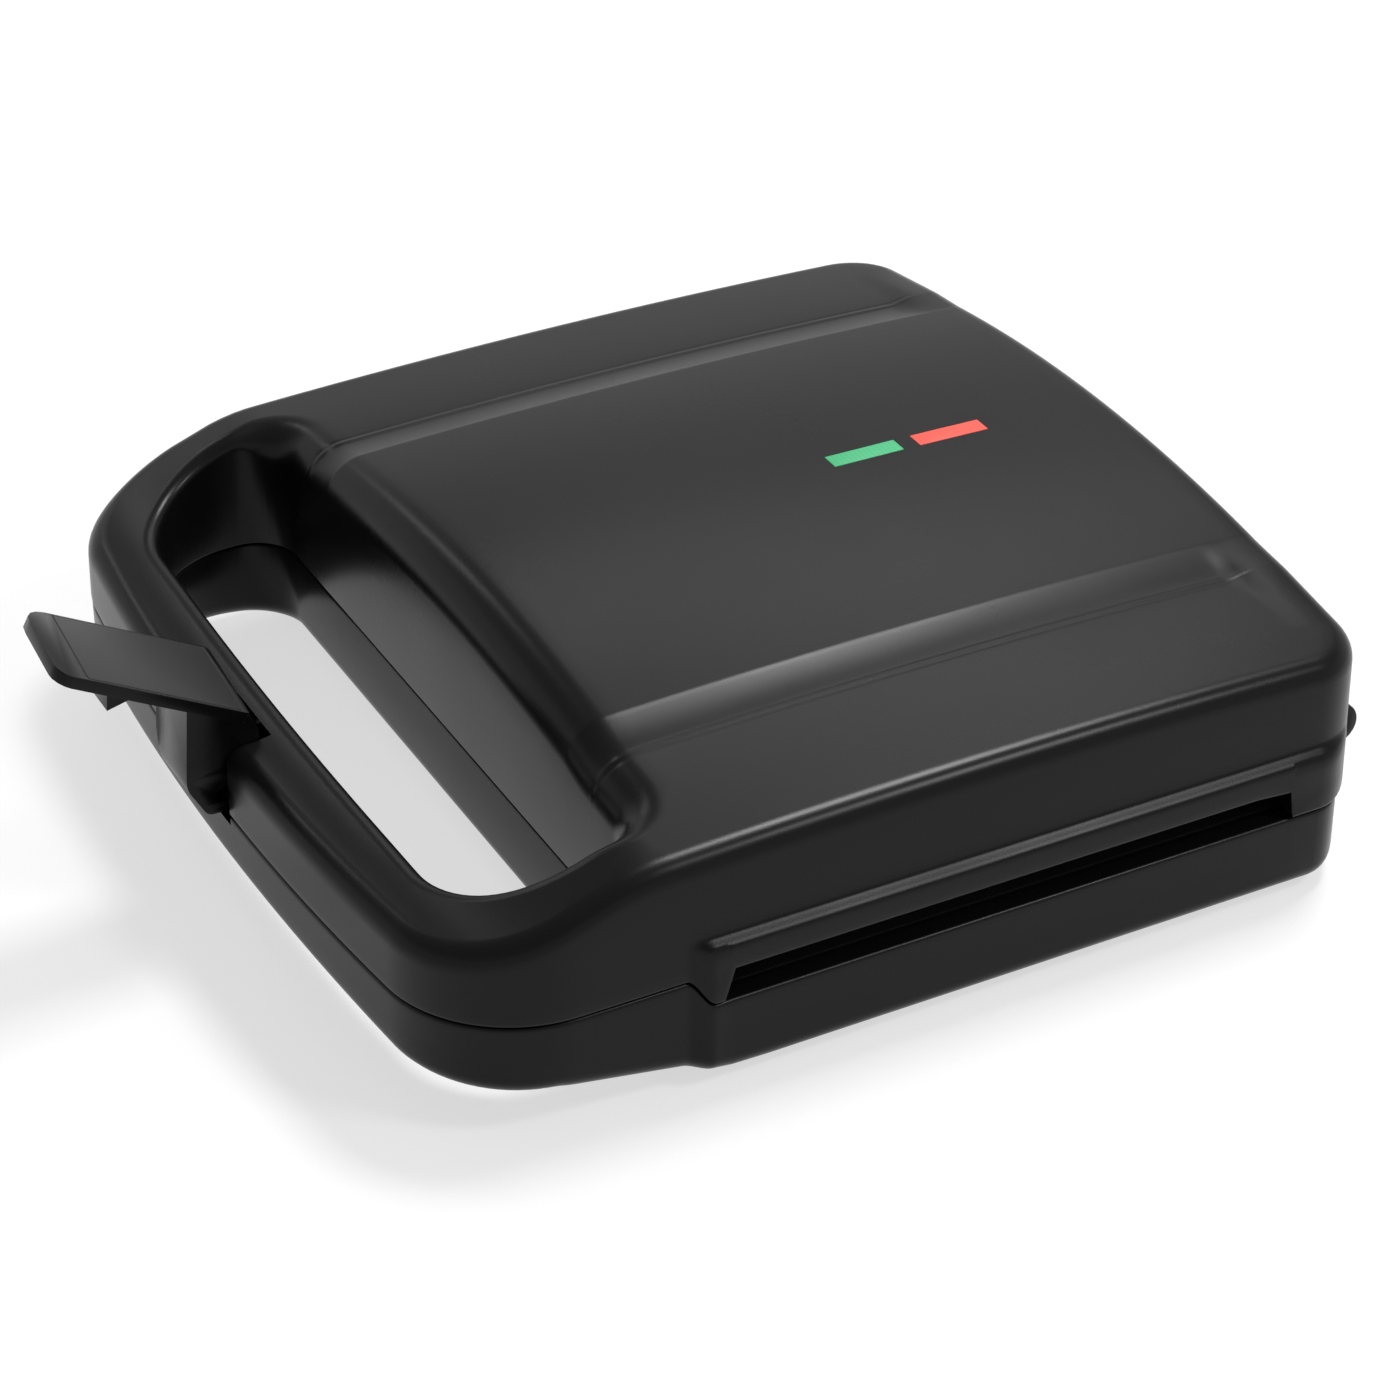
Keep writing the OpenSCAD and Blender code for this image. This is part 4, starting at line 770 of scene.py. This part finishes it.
def coating(name, colour, fleck_colour):
    """Sprayed non-stick coating: dark, fine flecks, orange-peel relief."""
    material, tree, shader, place = new_material(name)
    flecks = place_group(tree, speckle_group, Vector=place, Fleck_Size=1.1)
    texture = place_group(tree, grain_group, Vector=place, Grain_Size=0.8, Waviness=0.6)
    share = math_node(tree, "MULTIPLY", flecks["Flecks"], 0.5)
    feed(tree, shader, Base_Color=colour_mix(tree, share, colour, fleck_colour),
         Roughness=number_range(tree, texture["Patches"], 0.3, 0.4),
         Normal=bump(tree, texture["Height"], 0.03), Coat_Weight=0.25, Coat_Roughness=0.2)
    return material


def lens_plastic(name, colour, deep):
    """Tinted lens: even colour, darker in fine prisms across its length."""
    material, tree, shader, place = new_material(name)
    texture = place_group(tree, grain_group, Vector=place, Grain_Size=0.6)
    prisms = put(tree, "ShaderNodeTexWave", {"bands_direction": "Y"}, Vector=place, Scale=260.0,
                 Distortion=0.0).outputs["Fac"]
    share = number_range(tree, prisms, 0.0, 0.22, 0.2, 0.9)
    feed(tree, shader, Base_Color=colour_mix(tree, share, colour, deep),
         Roughness=number_range(tree, texture["Patches"], 0.42, 0.5),
         Normal=bump(tree, prisms, 0.02, 0.4), Specular_IOR_Level=0.3)
    return material


def lamp_glass(name, colour):
    """Glass bulb: clear tinted glass with faint streaks in its tint."""
    material, tree, shader, place = new_material(name)
    texture = place_group(tree, grain_group, Vector=place, Grain_Size=2.0)
    pale = tuple(mix(c, 1, 0.4) for c in colour)
    share = number_range(tree, texture["Patches"], 0.0, 0.3)
    feed(tree, shader, Base_Color=colour_mix(tree, share, colour, pale), Roughness=0.08,
         Transmission_Weight=0.85)
    return material


black_plastic = moulded("black_plastic", (0.0045, 0.0045, 0.0047), (0.008, 0.008, 0.008), 0.29,
                        specular=0.18)
inset_plastic = moulded("grey_plastic", (0.016, 0.0155, 0.0157), (0.05, 0.049, 0.049), 0.45, grain=0.25,
                        wear=0.3, specular=0.3)
frame_plastic = moulded("frame_plastic", (0.016, 0.016, 0.016), (0.028, 0.028, 0.027), 0.55, grain=0.5)
pale_plastic = moulded("pale_plastic", (0.62, 0.58, 0.48), (0.68, 0.65, 0.56), 0.45)
foot_rubber = moulded("foot_rubber", (0.02, 0.02, 0.02), (0.04, 0.04, 0.04), 0.75, grain=0.6, wear=0.8)
plate_coating = coating("plate_coating", (0.018, 0.018, 0.019), (0.07, 0.07, 0.072))
element_steel = metal("element_steel", (0.3, 0.28, 0.26), (0.16, 0.12, 0.1), 0.38, fleck=0.5)
plated_steel = metal("plated_steel", (0.72, 0.71, 0.69), (0.6, 0.58, 0.54), 0.22, fleck=0.3)
shield_steel = metal("shield_steel", (0.62, 0.62, 0.62), (0.5, 0.49, 0.47), 0.33, fleck=0.6, stretch=0.08)
green_plastic = lens_plastic("green_plastic", (0.07, 0.48, 0.21), (0.03, 0.36, 0.14))
red_plastic = lens_plastic("red_plastic", (0.88, 0.115, 0.085), (0.7, 0.06, 0.045))
green_glass = lamp_glass("green_glass", (0.35, 0.9, 0.5))
red_glass = lamp_glass("red_glass", (1.0, 0.35, 0.2))


# ---- Housings ----

REACH = 5.0  # how far a cutter stands past the front that it cuts
NOTCH_HALF, NOTCH_BACK, NOTCH_FILLET, CHEEK = 9.6, FRONT + 12, 2.4, 2.6
PIVOT_Y, PIVOT_Z = FRONT + 4.5, BAR_TOP - 5.5
CATCH_LOW, CATCH_TOP = FRONT_SEAM + 2, FRONT_SEAM + 3.5
AXIS_Y, AXIS_Z = REAR + 6.0, SIDE_SEAM + 3.0
KNUCKLE, KNUCKLE_WIDTH, EAR_WIDTH, EAR_GAP, HINGE_PLACE = 10.8, 11.2, 6.0, 0.4, 82.0
PIN_DIAMETER, PIN_FIT = 4.0, 0.12
FRAME_FRONT, BASE_INNER_REAR = OPENING_BACK + WALL + 0.4, REAR - REAR_INSET - WALL
PLATE_FRONT, PLATE_REAR = OPENING_BACK + 25.6, REAR - 26
WINDOW_FRONT = PLATE_FRONT + 4.6
DECK_LOW, BASE_SCREW_SEAT = 20.0, 12.0
BOSS_X, BOSS_FRONT_Y = 64.0, (FRAME_FRONT + WINDOW_FRONT) / 2 + 1
BOSS_REAR_Y = (PLATE_REAR + BASE_INNER_REAR) / 2
BOSS_PLACES = [(x, y) for x in (-BOSS_X, BOSS_X) for y in (BOSS_FRONT_Y, BOSS_REAR_Y)]
BOSS_DIAMETER, WELL_DIAMETER, RECESS_DIAMETER = 8.0, 10.0, 6.1
FOOT_PLACES = [(x, y) for x in (-94, 94) for y in (STEP_BACK + 14, REAR - 21)]
FOOT_SEAT, FOOT_DEPTH = 15.1, 1.2
GLAND_X, GLAND_Z, GLAND_DIAMETER = -40.0, 14.1, 9.1
LENS_PLACES = [MIDDLE_Y + LENS_PLACE + k * (LENS_LENGTH + LENS_SPACE) for k in (-0.5, 0.5)]
LENS_FIT = 0.1
POST_X, POST_DIAMETER, POST_LENGTH = 9.0, 5.0, 14.5  # the posts that carry the lamp holder


def notch_outline(back):
    """The lever's notch seen from above, flared where it meets the front."""
    corner = NOTCH_HALF + NOTCH_FILLET
    right = arc(corner, FRONT + NOTCH_FILLET + 0.05, NOTCH_FILLET, 180, 270)
    left = [(-x, y) for x, y in reversed(right)]
    mouth = [(corner, FRONT - REACH), (-corner, FRONT - REACH)]
    return [(NOTCH_HALF, back)] + right + mouth + left + [(-NOTCH_HALF, back)]


def ear_outline():
    """Side view of a lid ear: round about the pin, with a web to the rear wall."""
    radius = KNUCKLE / 2
    return ([(REAR - WALL / 2, AXIS_Z - 2)] + arc(AXIS_Y, AXIS_Z, radius, -158, 90, 30)
            + [(REAR - WALL / 2, AXIS_Z + radius)])


def bracket_outline():
    """Side view of the base's hinge bracket under its knuckle."""
    radius, inside = KNUCKLE / 2, REAR - REAR_INSET - WALL / 2
    return ([(inside, AXIS_Z - 16)] + arc(AXIS_Y, AXIS_Z, radius, -110, 200, 36)
            + [(AXIS_Y - radius * 0.94, SIDE_SEAM - 0.2), (inside, SIDE_SEAM - 0.2)])


def hinge_part(name, spans, outline):
    """Hinge eyes on both sides, bored for the pin."""
    bm, bore = bmesh.new(), bmesh.new()
    for side in (-1, 1):
        for near, far in spans:
            low, high = sorted((side * (HINGE_PLACE + near), side * (HINGE_PLACE + far)))
            prism(bm, outline, low, high, "X")
            prism(bore, circle(AXIS_Y, AXIS_Z, PIN_DIAMETER + PIN_FIT), low - 1, high + 1, "X")
    return rounded_edges(carve(object_from(name, bm), object_from("bore", bore)), 0.5, 50)


def lens_windows(cuts):
    """Adds a cutter for each lens's window, tilted with the crown."""
    half_width, half_length = LENS_WIDTH / 2 + LENS_FIT, LENS_LENGTH / 2 + LENS_FIT
    for y in LENS_PLACES:
        tilt = math.atan(-2 * CROWN_SAG * (y - CROWN_Y) / CROWN_HALF ** 2)
        window = bmesh.new()
        block(window, -half_width, half_width, -half_length, half_length, -WALL - 2, 2)
        window.transform(Matrix.Translation((0, y, lid_top(0, y))) @ Matrix.Rotation(tilt, 4, "X"))
        piece = bpy.data.meshes.new("window")
        window.to_mesh(piece)
        window.free()
        cuts.from_mesh(piece)


def latch_mount(inside):
    """Adds the cheeks that hold the latch's pin, and the wall behind them."""
    low, high = FRONT_SEAM + 1, BAR_TOP - 1.1
    cheek = [(FRONT + 3.2, low), (FRONT + 3.2, BAR_TOP - 3.2), (FRONT + 5, BAR_TOP - 1.3),
             (FRONT + 13, high), (FRONT + 13, low)]
    for side in (-1, 1):
        near, far = sorted((side * NOTCH_HALF, side * (NOTCH_HALF + CHEEK)))
        prism(inside, cheek, near, far, "X")
    block(inside, -NOTCH_HALF - 1, NOTCH_HALF + 1, NOTCH_BACK, NOTCH_BACK + 1.6, low, high)


def lid_housing():
    shell = ring_solid("lid_housing", [lid_ring(station) for station in all_stations()])
    cuts = bmesh.new()
    prism(cuts, notch_outline(NOTCH_BACK), FRONT_SEAM - 2, BAR_TOP + 8)
    lens_windows(cuts)
    carve(shell, object_from("lid_cuts", cuts))
    inside = bmesh.new()
    for x, y in BOSS_PLACES:
        prism(inside, circle(x, y, BOSS_DIAMETER, 24), 2 * PLATE_PLANE - DECK_LOW,
              smooth_top(x, y) - WALL / 2)
    for x in (-POST_X, POST_X):
        y = MIDDLE_Y + LENS_PLACE
        prism(inside, circle(x, y, POST_DIAMETER, 20), LID_HEIGHT - POST_LENGTH,
              smooth_top(x, y) - WALL / 2)
    latch_mount(inside)
    near = KNUCKLE_WIDTH / 2 + EAR_GAP
    ears = hinge_part("ears", [(-near - EAR_WIDTH, -near), (near, near + EAR_WIDTH)], ear_outline())
    return joined(shell, object_from("inside", inside), ears)


def latch_catch():
    """The lip on the base that the latch hooks under."""
    half = NOTCH_HALF - 0.6
    catch = bmesh.new()
    block(catch, -half, half, FRONT + 4.2, FRONT + 6.6, FRONT_SEAM - 6, CATCH_TOP)
    block(catch, -half, half, FRONT + 1.4, FRONT + 4.4, CATCH_LOW, CATCH_TOP)
    return rounded_edges(object_from("catch", catch), 0.3)


def base_housing():
    shell = ring_solid("base_housing", [base_ring(station) for station in all_stations()])
    thick = bmesh.new()
    block(thick, -NOTCH_HALF - CHEEK, NOTCH_HALF + CHEEK, FRONT + 1.6, FRONT + 7.5, FRONT_SEAM - 8,
          FRONT_SEAM - SEAM_GAP / 2 - 0.02)
    carve(shell, object_from("thick", thick), "UNION")
    below = GROUND_GAP - 4
    cuts, wells, recesses, gland_hole = bmesh.new(), bmesh.new(), bmesh.new(), bmesh.new()
    prism(cuts, notch_outline(FRONT + 4.2), FRONT_SEAM - 2.6, CATCH_LOW)
    for x, y in BOSS_PLACES:
        prism(wells, circle(x, y, WELL_DIAMETER, 32), GROUND_GAP + WALL - 0.3, DECK_LOW)
        for cut in (cuts, recesses):
            prism(cut, circle(x, y, RECESS_DIAMETER, 32), below, BASE_SCREW_SEAT)
    for x, y in FOOT_PLACES:
        prism(cuts, circle(x, y, FOOT_SEAT, 40), below, GROUND_GAP + FOOT_DEPTH)
    prism(gland_hole, circle(GLAND_X, GLAND_Z, GLAND_DIAMETER, 32), REAR - 10, REAR + 2, "Y")
    carve(shell, object_from("base_cuts", cuts))
    carve(shell, object_from("gland_hole", gland_hole))
    half = KNUCKLE_WIDTH / 2
    eyes = hinge_part("eyes", [(-half, half)], bracket_outline())
    bosses = carve(object_from("wells", wells), object_from("recesses", recesses))
    return joined(shell, latch_catch(), bosses, eyes)


finish_piece(lid_housing(), black_plastic, "lid", "upper_shell")
finish_piece(base_housing(), black_plastic, "base", "lower_shell")


# ---- Pieces kept from the part's source, with their finishes ----

KEPT = {
    plated_steel: ["hinge_pin_left", "hinge_pin_right", "latch_pin", "thermal_fuse",
                   "upper_element_clips", "lower_element_clips"],
    shield_steel: ["upper_heat_shield", "lower_heat_shield"],
    green_glass: ["green_lamp"],
    red_glass: ["red_lamp"],
}
for material, nodes in KEPT.items():
    for node in nodes:
        painted(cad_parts[node], material, 30)


# ---- Screws, heating tubes and spring, grown by their trees ----

screw_tree, tube_tree = make_screw_tree(), make_tube_tree()
HEAD_DIAMETER, HEAD_HEIGHT, SCREW_DIAMETER = 5.7, 1.2, 3.0
LID_SCREW_SEAT, LID_SCREW_LENGTH, BASE_SCREW_LENGTH = 32.6, 11.0, 10.4
SHIELD_LOW, PLATE_SCREW_LENGTH = 9.0, 6.4
PLATE_MID = (PLATE_FRONT + PLATE_REAR) / 2
PLATE_SCREW_PLACES = [(0, PLATE_MID - 25), (0, PLATE_MID + 25), (-50, PLATE_MID), (50, PLATE_MID)]
TUBE_DIAMETER, TUBE_BEND, TAIL_X, PIN_LENGTH = 6.4, 14.0, 15.0, 5.0
PIN_SHARE, LOOP_REAR = 2.4, PLATE_REAR - 26
SPRING_WIRE, COIL_RADIUS, COIL_PITCH, COIL_TURNS, COIL_STEPS = 0.8, 2.15, 0.94, 4.75, 96
SPRING_FIT, SPRING_LEG = 0.1, 2.2


def points(places):
    """Loose points, to grow screws on."""
    bm = bmesh.new()
    for place in places:
        bm.verts.new(place)
    return bm


def polyline(places):
    """Points joined in a line, to grow a tube along."""
    bm = points(places)
    bm.verts.ensure_lookup_table()
    for i in range(len(places) - 1):
        bm.edges.new((bm.verts[i], bm.verts[i + 1]))
    return bm


def screws(node, body, places, seat, length, turned=False):
    """The screws of one node at a seat's height, or turned over about the plates' plane."""
    piece = grown(node + "_turned", screw_tree, points([(x, y, seat) for x, y in places]),
                  Head_Diameter=HEAD_DIAMETER * MM, Head_Height=HEAD_HEIGHT * MM,
                  Shank_Diameter=SCREW_DIAMETER * MM, Length=length * MM, Material=plated_steel)
    if turned:
        centre = Matrix.Translation(Vector((0, PLATE_MID, PLATE_PLANE)) * MM)
        piece.data.transform(centre @ Matrix.Rotation(math.pi, 4, "X") @ centre.inverted())
    finish_piece(piece, plated_steel, body, node)


def tube(name, places, diameter, bend, material, bend_steps=14, sides=20):
    return grown(name, tube_tree, polyline(places), Diameter=diameter * MM, Bend_Radius=bend * MM,
                 Bend_Steps=bend_steps, Sides=sides, Material=material)


def heating_tube(node, body):
    """The loop and its two tails, with the thin connecting pins."""
    low, high = (Vector(corner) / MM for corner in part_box(node))
    z = (low.z + high.z) / 2
    loop_x, front = high.x - TUBE_DIAMETER / 2, low.y + TUBE_DIAMETER / 2
    tail = high.y - PIN_LENGTH
    half = [(TAIL_X, tail, z), (TAIL_X, LOOP_REAR, z), (loop_x, LOOP_REAR, z), (loop_x, front, z)]
    whole = [(-x, y, z) for x, y, _ in half] + half[::-1]
    loop = tube(node + "_tube", whole, TUBE_DIAMETER, TUBE_BEND, element_steel)
    pins = [tube("pin", [(side * TAIL_X, tail - 1, z), (side * TAIL_X, high.y, z)],
                 TUBE_DIAMETER / PIN_SHARE, 0.01, element_steel, 1) for side in (-1, 1)]
    finish_piece(joined(loop, *pins), element_steel, body, node)


def spring_line():
    """The torsion spring's coil, with a leg back to the notch's wall and one up to the lever."""
    coil = []
    for k in range(COIL_STEPS + 1):
        turn = math.pi / 2 + 2 * math.pi * COIL_TURNS * k / COIL_STEPS
        coil.append(Vector((COIL_PITCH * COIL_TURNS * (k / COIL_STEPS - 0.5),
                            PIVOT_Y + COIL_RADIUS * math.cos(turn),
                            PIVOT_Z + COIL_RADIUS * math.sin(turn))))
    back = coil[0] + Vector((0, NOTCH_BACK - PIVOT_Y - SPRING_FIT, 0))
    return [back] + coil + [coil[-1] + Vector((0, 0, SPRING_LEG))]


screws("base_screws", "base", BOSS_PLACES, BASE_SCREW_SEAT, BASE_SCREW_LENGTH)
screws("lid_screws", "lid", BOSS_PLACES, LID_SCREW_SEAT, LID_SCREW_LENGTH)
screws("lower_plate_screws", "base", PLATE_SCREW_PLACES, SHIELD_LOW, PLATE_SCREW_LENGTH)
screws("upper_plate_screws", "lid", PLATE_SCREW_PLACES, SHIELD_LOW, PLATE_SCREW_LENGTH, True)
heating_tube("lower_element", "base")
heating_tube("upper_element", "lid")
finish_piece(tube("spring_wire", spring_line(), SPRING_WIRE, 0.02, plated_steel, 1, 10), plated_steel,
             "lid", "latch_spring", angle=60)


# ---- Pieces whose edges are rounded ----

# The lever as packed, and the slightly broader, shorter and steeper paddle that the photo shows
ROOT_Y, ROOT_Z, NEW_ROOT_Z = FRONT + 6.5, BAR_TOP + 9.0, BAR_TOP + 11.5
PADDLE_RISE, NEW_PADDLE_RISE = math.radians(25.5), math.radians(28.5)
LENGTH_SHARE, WIDTH_SHARE, FIN_SHARE = 48.4 / 52.0, 32.2 / 29.4, 6.5 / 3.0
PADDLE_SHEET, ARM_HALF, HOOK_HALF, NEW_HOOK_HALF, FIN_START = 2.8, 9.2, 4.8, 7.0, 18.0
ARM_STRAIGHT, HOOK_TOP = PIVOT_Z + 4, FRONT_SEAM + 1


def refitted(obj):
    """Moves the points of the lever, or of its inset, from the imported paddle's frame to the new one."""
    for vertex in obj.data.vertices:
        x, y, z = vertex.co / MM
        if z < ARM_STRAIGHT:
            share = clamped((z - HOOK_TOP) / (ARM_STRAIGHT - HOOK_TOP))
            x *= mix(NEW_HOOK_HALF, ARM_HALF, share) / mix(HOOK_HALF, ARM_HALF, share)
        back, up = y - ROOT_Y, z - ROOT_Z
        along = up * math.sin(PADDLE_RISE) - back * math.cos(PADDLE_RISE)
        deep = -back * math.sin(PADDLE_RISE) - up * math.cos(PADDLE_RISE)
        if along > FIN_START and deep > PADDLE_SHEET:
            deep = PADDLE_SHEET + (deep - PADDLE_SHEET) * FIN_SHARE
        along *= LENGTH_SHARE
        new_y = ROOT_Y - along * math.cos(NEW_PADDLE_RISE) - deep * math.sin(NEW_PADDLE_RISE)
        new_z = NEW_ROOT_Z + along * math.sin(NEW_PADDLE_RISE) - deep * math.cos(NEW_PADDLE_RISE)
        if abs(x) > ARM_HALF + 0.2:
            x *= WIDTH_SHARE
        share = clamped((z - ARM_STRAIGHT) / (ROOT_Z - 2 - ARM_STRAIGHT))
        vertex.co = Vector((x, mix(y, new_y, share), mix(z, new_z, share))) * MM
    return obj


SOFTENED = [
    ("upper_frame", frame_plastic, "lid", 0.4),
    ("lower_frame", frame_plastic, "base", 0.4),
    ("upper_plate", plate_coating, "lid", 0.5),
    ("lower_plate", plate_coating, "base", 0.5),
    ("green_lens", green_plastic, "lid", 0.12),
    ("red_lens", red_plastic, "lid", 0.12),
    ("lamp_holder", pale_plastic, "lid", 0.25),
    ("thermostat", pale_plastic, "base", 0.2),
    ("terminal_block", pale_plastic, "base", 0.3),
    ("cord_gland", foot_rubber, "base", 0.3),
    ("latch_lever", black_plastic, "latch", 0.35),
    ("latch_inset", inset_plastic, "latch", 0.15),
]
SOFTENED += [("foot_%s_%s" % (end, side), foot_rubber, "base", 0.4)
             for end in ("front", "rear") for side in ("left", "right")]
for node, material, body, radius in SOFTENED:
    piece = softened(node, radius)
    if body == "latch":
        refitted(piece)
    finish_piece(piece, material, body, node, angle=40)


# ---- Floor, backdrop and light ----

def floor_material():
    """A pale floor: white to the camera and in reflections, and it keeps the object's shadow."""
    material, tree, shader, place = new_material("pale_floor")
    cloud = put(tree, "ShaderNodeTexNoise", Vector=place, Scale=3.0, Detail=2.0).outputs[0]
    tint = colour_mix(tree, number_range(tree, cloud, 0.0, 1.0), (0.36, 0.36, 0.36), (0.38, 0.38, 0.38))
    rays = tree.nodes.new("ShaderNodeLightPath").outputs
    seen = math_node(tree, "MAXIMUM", rays["Is Camera Ray"],
                     math_node(tree, "MAXIMUM", rays["Is Glossy Ray"], rays["Is Transmission Ray"]))
    feed(tree, shader, Base_Color=tint, Roughness=0.9, Specular_IOR_Level=0.1,
         Emission_Color=(1, 1, 1, 1), Emission_Strength=math_node(tree, "MULTIPLY", seen, 0.64))
    return material


def area_light(name, direction, distance, size, power):
    """A soft panel that looks at the toaster from a direction; lengths in metres, power in watts."""
    light = bpy.data.lights.new(name, "AREA")
    light.shape = "RECTANGLE"
    light.size, light.size_y = size
    light.energy = power
    obj = new_object(name, light)
    aim = Vector((0, 0.02, 0.04))
    obj.location = aim + Vector(direction).normalized() * distance
    obj.rotation_euler = (aim - obj.location).to_track_quat("-Z", "Y").to_euler()
    return obj


def studio_floor():
    """A round floor that curves up into a low backdrop; radius and height of its rings in metres."""
    rings = [(3.2, 0), (3.5, 0.03), (3.8, 0.14), (4.0, 0.35), (4.1, 0.7), (4.15, 2.2)]
    count = 64
    bm = bmesh.new()
    rows = [[bm.verts.new((x, y, z)) for x, y in circle(0, 0, 2 * radius, count)] for radius, z in rings]
    bm.faces.new(rows[0])
    for row, after in zip(rows, rows[1:]):
        for i in range(count):
            j = (i + 1) % count
            bm.faces.new((row[i], after[i], after[j], row[j]))
    return painted(made("floor", bm), floor_material(), 60)


studio_floor()

area_light("overhead_panel", (-0.12, 0.38, 0.91), 1.5, (0.42, 0.32), 16)
area_light("right_panel", (0.52, 0.42, 0.74), 1.6, (0.3, 0.25), 6)
area_light("rear_panel", (-0.6, 0.42, 0.68), 2.0, (0.9, 0.6), 3.8)
area_light("left_panel", (-0.8, -0.16, 0.62), 1.6, (0.15, 0.5), 0.9)

world = bpy.data.worlds.new("studio")
bpy.context.scene.world = world
world.use_nodes = True
background = world.node_tree.nodes["Background"]
background.inputs["Color"].default_value = (1, 1, 1, 1)
background.inputs["Strength"].default_value = 0.34

bpy.context.scene.view_settings.view_transform = "Standard"
